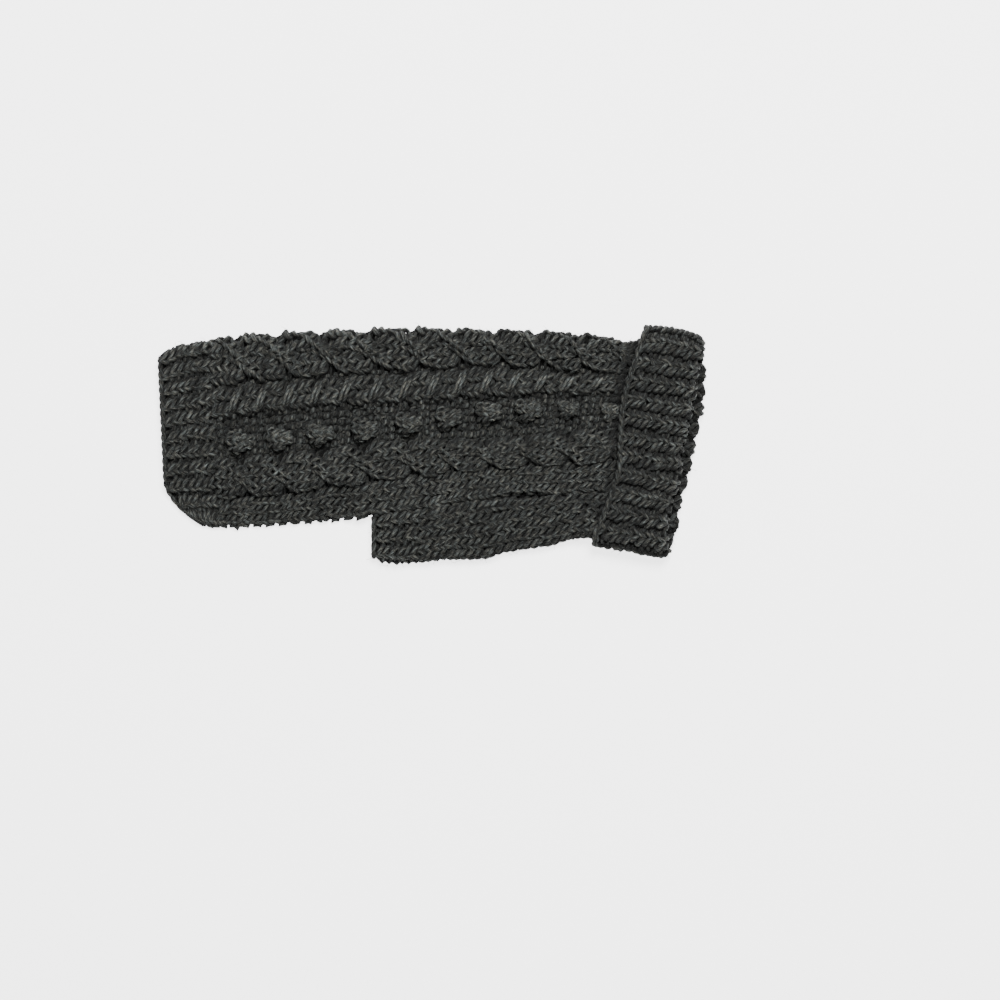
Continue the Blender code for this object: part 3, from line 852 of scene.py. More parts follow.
@dataclass(frozen=True)
class Fuzz:
    """Loose fibres that stand off a yarn."""

    count: int
    seed: int
    length: tuple[float, float] = (2.0, 5.5)
    radius: float = 0.085
    scatter: float = 0.6       # how far a fibre turns away from the yarn's own way
    lift: float = 0.15
    curl: float = 0.22
    steps: int = 4
    least_up: float = -0.1     # none grow where the yarn's cloth faces further down
    highest: float = 1.5       # off the yarn
    lowest: float = 3.0        # none grow nearer to the surface than this
    tones: tuple[float, float] = (1.0, 2.6)

    def grow(self, yarn: Yarn) -> Yarn:
        """Let fibres grow from a yarn.

        Args:
            yarn: In millimetres.

        Returns:
            The fibres.
        """
        whole = Run.join(yarn.lines)
        random = np.random.default_rng(self.seed)
        seen = (whole.out[:, 2] > self.least_up) & (whole.points[:, 2] > self.lowest)
        seen[[0, -1]] = False
        picked = random.choice(np.flatnonzero(seen), self.count, replace=False)
        way = whole.points[picked + 1] - whole.points[picked - 1]
        way = way / np.maximum(np.linalg.norm(way, axis=1, keepdims=True), TINY)
        out = whole.out[picked]
        way = way + self.scatter * random.normal(0.0, 1.0, way.shape) + self.lift * out
        way = way / np.linalg.norm(way, axis=1, keepdims=True)
        curl = self.curl * random.normal(0.0, 1.0, way.shape)
        length = random.uniform(*self.length, (self.count, 1))
        root = whole.points[picked] + out * whole.radii[picked, None]
        tones = random.uniform(*self.tones, self.count)
        share = np.linspace(0.0, 1.0, self.steps)[:, None]
        fibres = Yarn()
        for i in range(self.count):
            steps = length[i] * (way[i] * share + curl[i] * share * share)
            steps = steps - out[i] * np.maximum(steps @ out[i] - self.highest, 0.0)[:, None]
            points = root[i] + steps
            points[:, 2] = np.maximum(points[:, 2], self.lowest / 2)
            fibres.add(Run.even(points, np.tile(out[i], (self.steps, 1)), self.radius, tones[i]))
        return fibres


class Knitter:
    """Works courses of loops on a cloth, back and forth, or round and round on a tube."""

    def __init__(self, cloth: Cloth, loop: Loop, seed: int) -> None:
        """Take a cloth to work on.

        Args:
            cloth: Gives the place of each point of the yarn.
            loop: The way of the yarn through a stitch.
            seed: For the small unevenness of the stitches.
        """
        self.cloth = cloth
        self.loop = loop
        self.random = np.random.default_rng(seed)

    def course(self, number: float, bands: list[Band], to_form: Line, scale: float = 1.0,
               relief: Callable[[Array, Array], Lie] | None = None) -> Run:
        """Work one course from the first band to the last.

        Args:
            number: Course, counted from the cloth's start.
            bands: The wales, in order.
            to_form: From the counted course to the form's own.
            scale: Millimetres across for each of the cloth's units across.
            relief: Share of a lift that stays at a course and a distance across, the depth by which the
                cloth sinks there, and its tone, which holds painted shade and light.

        Returns:
            The course's yarn.
        """
        loop, parts, worked = self.loop, [], 0
        for band in bands:
            along, across, out = loop.steps(band.samples, band.stitch)
            uneven = self.random.normal(0.0, 1.0, (6, band.wales, 1))
            form_course = to_form(number + along[None, :] + loop.uneven * uneven[0])
            centre, width, lift, bulge, tone = band.trace(form_course, across)
            slant = self.cloth.hand * loop.bias * (along - 0.5) * loop.pitch / scale
            slant = slant * (1.0 + loop.uneven_slant * uneven[5])
            wale = worked + np.arange(band.wales)[:, None]
            stray = loop.wander * loop.stray(form_course, wale) / scale
            worked += band.wales
            side = centre + width * (across + loop.uneven_side * uneven[1]) + slant + stray
            if relief is not None:
                stays, sinks, shading = relief(form_course, centre)
                lift, tone = lift * stays - sinks, tone * shading
            swing = np.where(bulge > 0, out, -out * loop.purl_share(along))
            height = lift + loop.forward + swing * loop.bulge + loop.uneven_height * uneven[2]
            squeezed = np.clip(width * scale / loop.full_width, *loop.squeeze)
            radius = loop.radius * squeezed * (1.0 + loop.uneven_radius * uneven[3] + loop.fullness * swing)
            # random tone from stitch to stitch, and painted shade where the loop passes behind
            tone = tone * (loop.middle_tone + loop.uneven_tone * uneven[4] + loop.shade * swing)
            parts.append(Run(*self.cloth.line(form_course, side, height), radius.ravel(), tone.ravel()))
        return Run.join(parts)


# ---------------------------------------------------------------- node trees

class Value:
    """A socket's number, on which sums are written as on numbers."""

    def __init__(self, bench: "Bench", socket: bpy.types.NodeSocket) -> None:
        """Wrap an output socket of a tree."""
        self.bench = bench
        self.socket = socket

    def math(self, operation: str, *others: "Value | float") -> "Value":
        """The result of a Math node on this value and others."""
        inputs = dict(enumerate((self, *others)))
        return self.bench.value("ShaderNodeMath", 0, {"operation": operation}, inputs)

    def levels(self, gain: float, base: float, floor: float | None = None) -> "Value":
        """This value times a gain, plus a base, and no less than a floor."""
        changed = self * gain + base
        return changed if floor is None else changed.math("MAXIMUM", floor)

    def __add__(self, other: "Value | float") -> "Value":
        """This value plus another."""
        return self.math("ADD", other)

    def __sub__(self, other: "Value | float") -> "Value":
        """This value less another."""
        return self.math("SUBTRACT", other)

    def __mul__(self, other: "Value | float") -> "Value":
        """This value times another."""
        return self.math("MULTIPLY", other)

    def __rsub__(self, other: float) -> "Value":
        """A number less this value."""
        return self.math("MULTIPLY", -1.0).math("ADD", other)

    __radd__ = __add__
    __rmul__ = __mul__


class Bench:
    """Adds nodes to one tree."""

    def __init__(self, tree: bpy.types.NodeTree) -> None:
        """Take the tree to work on."""
        self.tree = tree

    def node(self, kind: str, settings: dict | None = None, inputs: dict | None = None) -> bpy.types.Node:
        """Add a node.

        Args:
            kind: The node's type.
            settings: Its own settings, which are set first.
            inputs: Numbers, values or sockets for its inputs, by name or number.

        Returns:
            The node.
        """
        node = self.tree.nodes.new(kind)
        for name, setting in (settings or {}).items():
            setattr(node, name, setting)
        for name, source in (inputs or {}).items():
            source = source.socket if isinstance(source, Value) else source
            if isinstance(source, bpy.types.NodeSocket):
                self.tree.links.new(source, node.inputs[name])
            else:
                node.inputs[name].default_value = source
        return node

    def value(self, kind: str, output: int | str, settings: dict | None = None,
              inputs: dict | None = None) -> Value:
        """Add a node and take one of its outputs as a value."""
        return Value(self, self.node(kind, settings, inputs).outputs[output])

    def attribute(self, name: str) -> Value:
        """A number stored on the mesh."""
        return self.value("ShaderNodeAttribute", "Fac", {"attribute_name": name})

    def place(self) -> Value:
        """The place on the object."""
        return self.value("ShaderNodeTexCoord", "Object")

    def noise(self, place: Value, scale: float, detail: float, roughness: float = 0.5) -> Value:
        """A cloudy pattern, from 0 to 1."""
        return self.value("ShaderNodeTexNoise", "Fac", {"noise_dimensions": "3D"},
                          {"Vector": place, "Scale": scale, "Detail": detail, "Roughness": roughness})

    def blend(self, kind: str, share: Value | float, first: Value | tuple, second: Value | tuple) -> Value:
        """Two colours in a Mix node."""
        return self.value("ShaderNodeMix", 2, {"data_type": "RGBA", "blend_type": kind},
                          {0: share, 6: first, 7: second})

    def shaded(self, colour: Value | tuple, shade: Value) -> Value:
        """A colour times a shade."""
        grey = self.value("ShaderNodeCombineColor", "Color", None,
                          {"Red": shade, "Green": shade, "Blue": shade})
        return self.blend("MULTIPLY", 1.0, colour, grey)

    def surface(self, inputs: dict) -> None:
        """Add the shader, with its inputs, and the output."""
        shader = self.value("ShaderNodeBsdfPrincipled", "BSDF", None, inputs)
        self.node("ShaderNodeOutputMaterial", None, {"Surface": shader})

    def stored(self, geometry: bpy.types.NodeSocket, name: str,
               number: Value | bpy.types.NodeSocket) -> bpy.types.NodeSocket:
        """A geometry with a number stored on its points.

        Args:
            geometry: The geometry.
            name: The attribute's name.
            number: What is stored.

        Returns:
            The geometry that has the attribute.
        """
        node = self.node("GeometryNodeStoreNamedAttribute", {"data_type": "FLOAT", "domain": "POINT"},
                         {"Geometry": geometry, "Name": name, "Value": number})
        return node.outputs["Geometry"]

    @staticmethod
    def material(name: str) -> tuple[bpy.types.Material, "Bench"]:
        """Start a material.

        Args:
            name: The material's name.

        Returns:
            The material, and a bench for its empty tree.
        """
        material = bpy.data.materials.new(name)
        material.use_nodes = True
        material.node_tree.nodes.clear()
        return material, Bench(material.node_tree)


@dataclass(frozen=True)
class WoolFinish:
    """Plied wool yarn: colour, plies, loose fibres and painted shade. Levels are a gain, a base and a floor.
    """

    name: str
    cool: Colour = (0.0338, 0.0378, 0.0362)
    warm: Colour = (0.0378, 0.0378, 0.0325)
    ply_length: float = 0.022      # for one full turn of a ply around the yarn
    streaks: float = 330.0         # fibres to a metre along the yarn
    streak_width: float = 2.8      # fibres across the yarn's radius
    streak_detail: float = 3.0
    streak_roughness: float = 0.65
    streak_levels: Levels = (9.8, -3.9, 0.2)
    # painted shade: the wool's colour is darker in the furrows between the plies
    furrow_levels: Levels = (0.75, 0.3, None)
    blotch_scale: float = 90.0
    blotch_detail: float = 3.0
    blotch_levels: Levels = (1.3, 0.35, None)
    heather_scale: float = 420.0   # of the shifts between the cool and the warm wool
    heather_detail: float = 1.0
    heather_levels: Levels = (4.0, -1.5, 0.0)
    facing_levels: Levels = (1.8, -0.57, 0.07)     # painted shade: the wool's colour is dark where it faces into the cloth
    ply_depth: float = 0.0007
    ply_bump: float = 0.5
    fibre_bump: float = 1.2
    roughness: float = 0.86
    specular: float = 0.25
    sheen: float = 0.06
    sheen_roughness: float = 0.5
    sheen_tint: Colour = (0.75, 0.78, 0.76)

    def material(self) -> bpy.types.Material:
        """Make the material, which reads the yarn's own attributes and paints shade and light from some of
        them.

        Returns:
            The material.
        """
        material, bench = Bench.material(self.name)
        cosine, sine = bench.attribute("ring_cos"), bench.attribute("ring_sin")
        length = bench.attribute("along")
        twist = length * (2 * math.pi / self.ply_length)
        twist_cos, twist_sin = twist.math("COSINE"), twist.math("SINE")
        ply_cos = cosine * twist_cos + sine * twist_sin
        ply_sin = sine * twist_cos - cosine * twist_sin
        plies = ply_cos * ply_cos * ply_cos * 4.0 - ply_cos * 3.0      # the cosine of three times the turn
        along_fibre = bench.value("ShaderNodeCombineXYZ", "Vector", None, {
            "X": length * self.streaks, "Y": ply_cos * self.streak_width, "Z": ply_sin * self.streak_width})
        fibres = bench.noise(along_fibre, 1.0, self.streak_detail, self.streak_roughness)
        blotch = bench.noise(bench.place(), self.blotch_scale, self.blotch_detail)
        heather = bench.noise(bench.place(), self.heather_scale, self.heather_detail)
        # painted shade: darker in the furrows between the plies, and where the yarn faces into the cloth
        ply_furrow_shade = plies.levels(0.5, 0.5, 0.0).math("SQRT").levels(*self.furrow_levels)
        depth = bench.attribute("facing").levels(*self.facing_levels)
        shade = ply_furrow_shade * fibres.levels(*self.streak_levels) * blotch.levels(*self.blotch_levels)
        # the tone attribute holds random tone from stitch to stitch and painted shade and light
        shade = shade * bench.attribute("tone") * depth
        wool = bench.blend("MIX", heather.levels(*self.heather_levels).math("MINIMUM", 1.0),
                           (*self.cool, 1.0), (*self.warm, 1.0))
        bump = bench.value("ShaderNodeBump", "Normal", None, {
            "Height": plies * self.ply_bump + fibres * self.fibre_bump,
            "Distance": self.ply_depth,
            "Strength": 1.0,
        })
        bench.surface({
            "Base Color": bench.shaded(wool, shade),
            "Roughness": self.roughness,
            "Normal": bump,
            "Specular IOR Level": self.specular,
            "Sheen Weight": self.sheen,
            "Sheen Roughness": self.sheen_roughness,
            "Sheen Tint": (*self.sheen_tint, 1.0),
        })
        return material


@dataclass(frozen=True)
class PaintedShadeGroundFinish:
    """Painted shade: a near-black sheet that stands for the shaded depth of the cloth, seen between the
    stitches.
    """

    name: str
    colour: Colour = (0.0055, 0.0057, 0.0053)
    grain: float = 900.0
    grain_detail: float = 4.0
    grain_roughness: float = 0.7
    grain_levels: Levels = (1.2, 0.4, None)
    depth: float = 0.0004
    roughness: float = 0.95
    specular: float = 0.1

    def material(self) -> bpy.types.Material:
        """Make the material, a matted wool whose near-black colour is painted shade.

        Returns:
            The material.
        """
        material, bench = Bench.material(self.name)
        matting = bench.noise(bench.place(), self.grain, self.grain_detail, self.grain_roughness)
        bump = bench.value("ShaderNodeBump", "Normal", None, {"Height": matting, "Distance": self.depth})
        bench.surface({
            "Base Color": bench.shaded((*self.colour, 1.0), matting.levels(*self.grain_levels)),
            "Roughness": self.roughness,
            "Normal": bump,
            "Specular IOR Level": self.specular,
        })
        return material


class YarnSweep:
    """Geometry Nodes tree that runs a round yarn along every line of a mesh."""

    def __init__(self) -> None:
        """Build the tree, with the yarn's sides and its material as inputs."""
        tree = bpy.data.node_groups.new("Yarn Sweep", "GeometryNodeTree")
        self.tree = tree
        tree.interface.new_socket("Lines", in_out="INPUT", socket_type="NodeSocketGeometry")
        self.sides = tree.interface.new_socket("Sides", in_out="INPUT", socket_type="NodeSocketInt")
        self.finish = tree.interface.new_socket("Finish", in_out="INPUT", socket_type="NodeSocketMaterial")
        tree.interface.new_socket("Yarn", in_out="OUTPUT", socket_type="NodeSocketGeometry")
        bench = Bench(tree)
        given = bench.node("NodeGroupInput")
        curve = bench.node("GeometryNodeMeshToCurve", None, {"Mesh": given.outputs["Lines"]})
        along = bench.node("GeometryNodeSplineParameter")
        measured = bench.stored(curve.outputs["Curve"], "along", along.outputs["Length"])
        circle = bench.node("GeometryNodeCurvePrimitiveCircle", {"mode": "RADIUS"}, {
            "Resolution": given.outputs["Sides"], "Radius": 1.0})
        place = bench.node("ShaderNodeSeparateXYZ", None,
                           {"Vector": bench.node("GeometryNodeInputPosition").outputs["Position"]})
        ring = bench.stored(circle.outputs["Curve"], "ring_cos", place.outputs["X"])
        ring = bench.stored(ring, "ring_sin", place.outputs["Y"])
        radius = bench.node("GeometryNodeInputNamedAttribute", {"data_type": "FLOAT"},
                            {"Name": "yarn_radius"})
        swept = bench.node("GeometryNodeCurveToMesh", None, {
            "Curve": measured, "Profile Curve": ring, "Fill Caps": True,
            "Scale": radius.outputs["Attribute"]})
        out = bench.node("GeometryNodeInputNamedAttribute", {"data_type": "FLOAT_VECTOR"}, {"Name": "out"})
        facing = bench.value("ShaderNodeVectorMath", "Value", {"operation": "DOT_PRODUCT"}, {
            0: bench.node("GeometryNodeInputNormal").outputs["Normal"], 1: out.outputs["Attribute"]})
        rounded = bench.node("GeometryNodeSetShadeSmooth", None, {
            "Geometry": bench.stored(swept.outputs["Mesh"], "facing", facing)})
        plain = bench.node("GeometryNodeRealizeInstances", None, {"Geometry": rounded.outputs["Geometry"]})
        dressed = bench.node("GeometryNodeSetMaterial", None, {
            "Geometry": plain.outputs["Geometry"], "Material": given.outputs["Finish"]})
        bench.node("NodeGroupOutput", None, {"Yarn": dressed.outputs["Geometry"]})

    @staticmethod
    def guide(name: str, yarn: Yarn) -> bpy.types.Object:
        """Make the lines that a yarn runs along.

        Args:
            name: The piece's name.
            yarn: Its lines, in millimetres.

        Returns:
            An object with the lines as edges, and the yarn's radius, tone and way out on its points.
        """
        whole = Run.join(yarn.lines)
        count = len(whole.points)
        first = np.delete(np.arange(count - 1), np.cumsum([len(line.points) for line in yarn.lines])[:-1] - 1)
        mesh = bpy.data.meshes.new(name)
        mesh.vertices.add(count)
        mesh.vertices.foreach_set("co", (whole.points * MM).astype(np.float32).ravel())
        mesh.edges.add(len(first))
        mesh.edges.foreach_set("vertices", np.stack((first, first + 1), axis=1).astype(np.int32).ravel())
        for attribute, kind, key, values in (("yarn_radius", "FLOAT", "value", whole.radii * MM),
                                             ("tone", "FLOAT", "value", whole.tones),
                                             ("out", "FLOAT_VECTOR", "vector", whole.out)):
            stored = mesh.attributes.new(attribute, kind, "POINT")
            stored.data.foreach_set(key, values.astype(np.float32).ravel())
        mesh.update()
        guide = bpy.data.objects.new(name + "_line", mesh)
        bpy.context.scene.collection.objects.link(guide)
        return guide

    def run(self, name: str, yarn: Yarn, finish: bpy.types.Material, sides: int) -> bpy.types.Object:
        """Sweep a yarn into a plain mesh.

        Args:
            name: The piece's name.
            yarn: Its lines, in millimetres.
            finish: Its material.
            sides: Sides of the yarn's round section.

        Returns:
            The piece, with no modifier left on it.
        """
        guide = self.guide(name, yarn)
        sweep = guide.modifiers.new("Yarn Sweep", "NODES")
        sweep.node_group = self.tree
        sweep[self.sides.identifier] = sides
        sweep[self.finish.identifier] = finish
        depsgraph = bpy.context.evaluated_depsgraph_get()
        swept = bpy.data.meshes.new_from_object(guide.evaluated_get(depsgraph), depsgraph=depsgraph)
        guide.modifiers.remove(sweep)
        bpy.data.objects.remove(guide)
        swept.name = name
        piece = bpy.data.objects.new(name, swept)
        bpy.context.scene.collection.objects.link(piece)
        return piece


# ---------------------------------------------------------------- pieces

class Slot(enum.Enum):
    """The wool that a piece is knitted in."""

    BODY = "body_wool"
    RIB = "rib_wool"


@dataclass
class Wardrobe:
    """Makes pieces and dresses them: gives them their wool, places them on the body and reports them."""

    yarn_sides: int = 6            # of the round section
    fibre_sides: int = 3
    sheet_thickness: float = 1.0   # of the thin cloth

    def __post_init__(self) -> None:
        """Make the finishes and the sweep that the pieces share."""
        self.wool = {Slot.BODY: WoolFinish("Body_Wool").material(),
                     Slot.RIB: WoolFinish("Rib_Wool").material()}
        # the thin cloth's near-black finish is painted shade, seen between the stitches
        self.ground = PaintedShadeGroundFinish("Wool_Ground").material()
        self.sweep = YarnSweep()

    def yarn(self, name: str, yarn: Yarn, slot: Slot) -> bpy.types.Object:
        """Sweep a yarn and put it on the body."""
        return self.finish(self.sweep.run(name, yarn, self.wool[slot], self.yarn_sides), slot)

    def fibres(self, name: str, fibres: Yarn, slot: Slot) -> bpy.types.Object:
        """Sweep loose fibres and put them on the body."""
        return self.finish(self.sweep.run(name, fibres, self.wool[slot], self.fibre_sides), slot)

    def finish(self, piece: bpy.types.Object, slot: Slot) -> bpy.types.Object:
        """Put a piece on the body and report it.

        Args:
            piece: The piece.
            slot: Not used.

        Returns:
            The same piece.
        """
        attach(piece, BODY)
        lowest = min(corner[2] for corner in piece.bound_box) / MM
        log.info("%s: %d faces, lowest point %.2f mm", piece.name, len(piece.data.polygons), lowest)
        return piece

    def sheet(self, node: str, points: Array, closed: bool, slot: Slot) -> bpy.types.Object:
        """Make the thin cloth that stands for a solid, from a grid of points.

        Args:
            node: The solid's node.
            points: Rows of places, in millimetres.
            closed: Whether the last column meets the first.
            slot: Not used.

        Returns:
            The cloth.
        """
        name = node + "_cloth"
        rows, columns = points.shape[:2]
        number = np.arange(rows * columns).reshape(rows, columns)
        beside = np.roll(number, -1, axis=1)
        wide = columns if closed else columns - 1
        faces = np.stack((number[:-1, :wide], number[1:, :wide], beside[1:, :wide], beside[:-1, :wide]),
                         axis=-1)
        mesh = bpy.data.meshes.new(name)
        mesh.from_pydata((points.reshape(-1, 3) * MM).tolist(), [], faces.reshape(-1, 4).tolist())
        # near-black: painted shade seen between the stitches
        mesh.materials.append(self.ground)
        mesh.shade_smooth()
        piece = bpy.data.objects.new(name, mesh)
        bpy.context.scene.collection.objects.link(piece)
        wall = piece.modifiers.new("Thickness", "SOLIDIFY")
        wall.thickness = self.sheet_thickness * MM
        wall.offset = 0.0
        self.finish(piece, slot)
        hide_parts(node)
        return piece


@dataclass
class Panel(abc.ABC):
    """A folded panel, worked back and forth from its ribbed hem."""

    form: SweaterForm
    node: str
    seed: int                      # of the stitches' unevenness
    hem_courses: int
    first_course: float            # the form's course where the first loops are
    edge_inset: float              # from the solid's edge to the outer loops
    near_samples: int              # points to a loop on the half that shows
    plain_lift: float              # of the plain wales
    turn_reach: float              # how far outside the edge the yarn steps up to the next course
    cast_on: TwistedEdge
    fuzz: Fuzz
    sheet_courses: int             # rows of the thin cloth
    sheet_columns: tuple[int, int, int]                # on the near half, the fold and the far half
    cloth: FoldedCloth = field(init=False)
    loop: Loop = Loop()
    end_gaps: float = 1.0          # 1 where the courses leave a gap at the hem alone, 2 at both ends
    far_samples: int = 8
    turn_places: tuple[float, float] = (0.1, 0.45)     # courses where the step starts and ends
    turn_height: float = 0.0
    turn_radius: float = 1.3
    cast_on_gap: float = 0.35
    sheet_ends: tuple[float, float] = (0.4, 0.1)       # courses by which the thin cloth stops short

    @abc.abstractmethod
    def knit(self) -> Yarn:
        """Work the whole panel."""

    @abc.abstractmethod
    def stitches(self, knitted: Yarn) -> dict[str, Yarn]:
        """The panel's yarn, as pieces by the end of their names."""

    @abc.abstractmethod
    def settled(self, course: Array, across: Array) -> Lie:
        """How the cloth lies at a place: share of its lift, depth of its hollows and tone, which holds
        painted shade.
        """

    @abc.abstractmethod
    def ground_height(self, course: Array, across: Array) -> Array:
        """Height of the thin cloth under the stitches."""

    @property
    @abc.abstractmethod
    def courses(self) -> float:
        """Number of courses."""

    def hem_settled(self, course: Array, across: Array) -> Lie:
        """How the hem lies at a place, as for settled."""
        return self.settled(course, across)

    def cut_length(self) -> float:
        """Length by which the panel's mean width gives its area."""
        return self.courses * self.loop.pitch

    def to_form(self, course: Array) -> Array:
        """The form's course for a counted one, so that the outer loops end at the edges."""
        return self.first_course + course * (1.0 - self.end_gaps * self.first_course / self.courses)

    def turn(self, number: int, at_far: bool) -> Run:
        """The yarn's step up to the next course, at an edge.

        Args:
            number: The course that it leaves.
            at_far: Whether it is at the far edge.

        Returns:
            The yarn of the step.
        """
        cloth, places = self.cloth, self.to_form(number + np.array(self.turn_places))
        edge = cloth.end(places) + self.turn_reach if at_far else cloth.start(places) - self.turn_reach
        return Run.even(*cloth.line(places, edge, np.full(2, self.turn_height)), self.turn_radius)

    def work(self, hem: list[Band], body: list[Band]) -> Yarn:
        """Work the panel back and forth.

        Args:
            hem: Wales of the hem.
            body: Wales of the rest.

        Returns:
            The yarn, a line for each course.
        """
        knitter = Knitter(self.cloth, self.loop, self.seed)
        yarn = Yarn()
        for number in range(int(self.courses)):
            in_hem = number < self.hem_courses
            run = knitter.course(number, hem if in_hem else body, self.to_form,
                                 relief=self.hem_settled if in_hem else self.settled)
            run = run.back() if number % 2 else run
            yarn.add(Run.join([run, self.turn(number, at_far=number % 2 == 0)]))
        return yarn

    def build(self, wardrobe: Wardrobe) -> list[bpy.types.Object]:
        """Make and dress the panel.

        Args:
            wardrobe: Makes the pieces.

        Returns:
            The thin cloth and the pieces on it.
        """
        cloth, knitted = self.cloth, self.knit()
        yarns = [wardrobe.yarn(f"{self.node}_{name}", yarn, Slot.BODY)
                 for name, yarn in self.stitches(knitted).items()]
        yarns.append(wardrobe.fibres(self.node + "_fuzz", self.fuzz.grow(knitted), Slot.BODY))
        edge = self.cast_on.lay(cloth, self.first_course - self.cast_on_gap, cloth.start, cloth.end)
        yarns.append(wardrobe.yarn(self.node + "_cast_on", edge, Slot.BODY))
        points, width = self.sheet_grid()
        sheet = wardrobe.sheet(self.node, points, closed=False, slot=Slot.BODY)
        self.courses * self.loop.pitch * MM
        float(width.mean() * self.cut_length()) * MM * MM
        return [sheet, *yarns]

    def sheet_grid(self) -> tuple[Array, Array]:
        """Set out the thin cloth under the stitches.

        Returns:
            Its grid of points, and the width of each of its rows when the panel is laid open.
        """
        cloth, (first, last) = self.cloth, self.sheet_ends
        course = np.linspace(first, self.courses - last, self.sheet_courses)[:, None]
        start, fold, end = cloth.start(course), cloth.fold(course), cloth.end(course)
        fold_end = fold + cloth.around
        near, around, far = (np.linspace(0.0, 1.0, count)[None, :] for count in self.sheet_columns)
        across = np.concatenate((mix(start, fold, near[:, :-1]), mix(fold, fold_end, around[:, :-1]),
                                 mix(fold_end, end, far)), axis=1)
        points = cloth.place(course + 0.0 * across, across, self.ground_height(course, across))
        width = (end - start - cloth.around + math.pi * self.form.layers.middle).ravel()
        return points[:, ::int(cloth.side)], width


@dataclass
class BackPanel(Panel):
    """The back panel, with its hem, cables and bobbles."""

    node: str = "back_panel"
    seed: int = 11
    hem_courses: int = 7
    first_course: float = 0.6
    end_gaps: float = 2.0
    edge_inset: float = 0.4
    near_samples: int = 16
    plain_lift: float = 0.4
    turn_reach: float = 0.5
    turn_height: float = 0.3
    cast_on: TwistedEdge = TwistedEdge(38)
    fuzz: Fuzz = Fuzz(4600, seed=71)
    sheet_courses: int = 140
    sheet_columns: tuple[int, int, int] = (64, 13, 14)
    yarn_parts: int = 3
    hem_wales: tuple[int, int] = (22, 16)
    far_relief: float = 0.1
    purl_groove: float = 2.2
    rope: Cable = Cable(12.0, 6.0, 1.9, 3.2, True, lean=1.9, back_drop=0.6, skew=0.35)
    side_rope: Cable = Cable(11.9, 6.0, 1.9, 2.5, True, lean=1.0, edge_tone=0.82, back_tone=0.35)
    mock: Cable = Cable(10.8, 4.0, 0.65, 1.8, False, lean=-0.25, front_lift=0.0, back_drop=0.4,
                        front_tone=0.0, back_tone=0.3, pinch=1.8, pinch_place=0.0, pinch_width=0.8)
    pattern_start: tuple[float, float] = (-0.5, 2.5)   # courses past the hem over which the pattern rises
    fold_rise: float = 0.3     # the pattern stands up by this much more on the fold
    fold_reach: float = 8.0    # from this far before the fold
    fold_part: float = 3.0     # to a third of the way around it
    hem_rise: float = 1.5      # the hem is fuller there
    ground_lift: float = -0.8
    # painted shade: the sunk purl ground's colour is darker by this factor
    ground_tone: float = 0.95
    ground_share: float = 0.85     # share of the cables' height that the thin cloth follows
    ground_depth: float = 1.2
    ground_on_fold: tuple[float, float] = (0.6, 2.5)   # and it is this much higher there, pressed or full
    ring_width: float = 2.4        # the ground sinks around each bobble, with painted shade there
    ring_depth: float = 0.8
    # painted shade: the wool's colour is darker by this share in the hollow around each bobble
    ring_tone: float = 0.5
    long_stitch_lean: float = 1.1      # courses that a long stitch gains on its way up
    long_stitch_gap: float = 0.31      # courses from its middle to each of its legs
    long_stitch_top: tuple[float, float] = (0.88, 1.12)
    long_stitch_insets: tuple[float, float] = (1.6, 1.2)
    long_stitch_rise: float = 4.6
    long_stitch_fullness: float = 0.6
    long_stitch_root: float = -0.7
    long_stitch_radius: float = 1.4
    # painted light: the raised long stitches' colour is lighter by this factor
    long_stitch_tone: float = 2.1
    long_stitch_points: int = 21
    least_relief: float = 0.5          # none is worked where the pattern is flatter than this
    bobble_first: float = 11.4
    bobble_pitch: float = 6.0
    bobble_count: int = 10
    small_bobbles: int = 2
    bobble_radius: float = 8.0
    last_bobbles_radius: float = 6.0
    bobble_rise: float = 6.4
    bobble_pressed: float = 0.4        # share of its rise that stays where the pattern is flat
    bobble_least: float = 2.0
    bobble_root: float = -0.6
    bobble_rows: int = 4
    bobble_wales: int = 3
    bobble_half_width: float = 0.9
    bobble_half_length: float = 0.95
    # painted light: the raised bobbles' colour is lighter by this factor
    bobble_tone: float = 1.22
    bobble_seed: int = 40
    bobble_loop: Loop = Loop(pitch=0.4, bias=0.3, bulge=0.8, forward=0.0, radius=1.32, squeeze=(1.0, 1.0))

    def __post_init__(self) -> None:
        """Make the folded cloth."""
        self.cloth = FoldedCloth(self.form, 1.0, self.fold_y, self.near_edge_y, self.far_edge_y,
                                 self.form.course_x)

    @property
    def courses(self) -> float:
        """Number of courses."""
        return self.form.courses

    def fold_y(self, course: Array) -> Array:
        """Place across where the fold starts: the rope stands out from it to the spine's line."""
        return self.form.back["spine_y"](course) - (self.form.layers.outer + self.form.rope_rise)

    def near_edge_y(self, course: Array) -> Array:
        """Place across of the near edge, which the leg slit opens."""
        edge = self.form.back["edge_y"](course)
        return edge + self.edge_inset + self.form.slit(self.form.course_x(course, edge))

    def far_edge_y(self, course: Array) -> Array:
        """Place across of the far edge."""
        return self.form.back["far_y"](course) + self.edge_inset

    def groove(self, course: Array) -> Array:
        """Lower line of the single purl wale beside the rope."""
        return self.form.back["rope_y"](course) - self.purl_groove

    def rope_top(self, course: Array) -> Array:
        """Line where the rope ends on the far half."""
        return self.cloth.middle(course) + self.purl_groove

    def far(self, line: Line) -> Line:
        """Mirror a line onto the far half.

        Args:
            line: A line of the near half.

        Returns:
            The same line of the far half, squeezed into its width.
        """
        rope_y, edge = self.form.back["rope_y"], self.form.back["edge_y"]

        def across(course: Array) -> Array:
            """Distance across on the far half."""
            share = (rope_y(course) - line(course)) / (rope_y(course) - edge(course))
            return mix(self.rope_top(course), self.cloth.end(course), share)

        return across

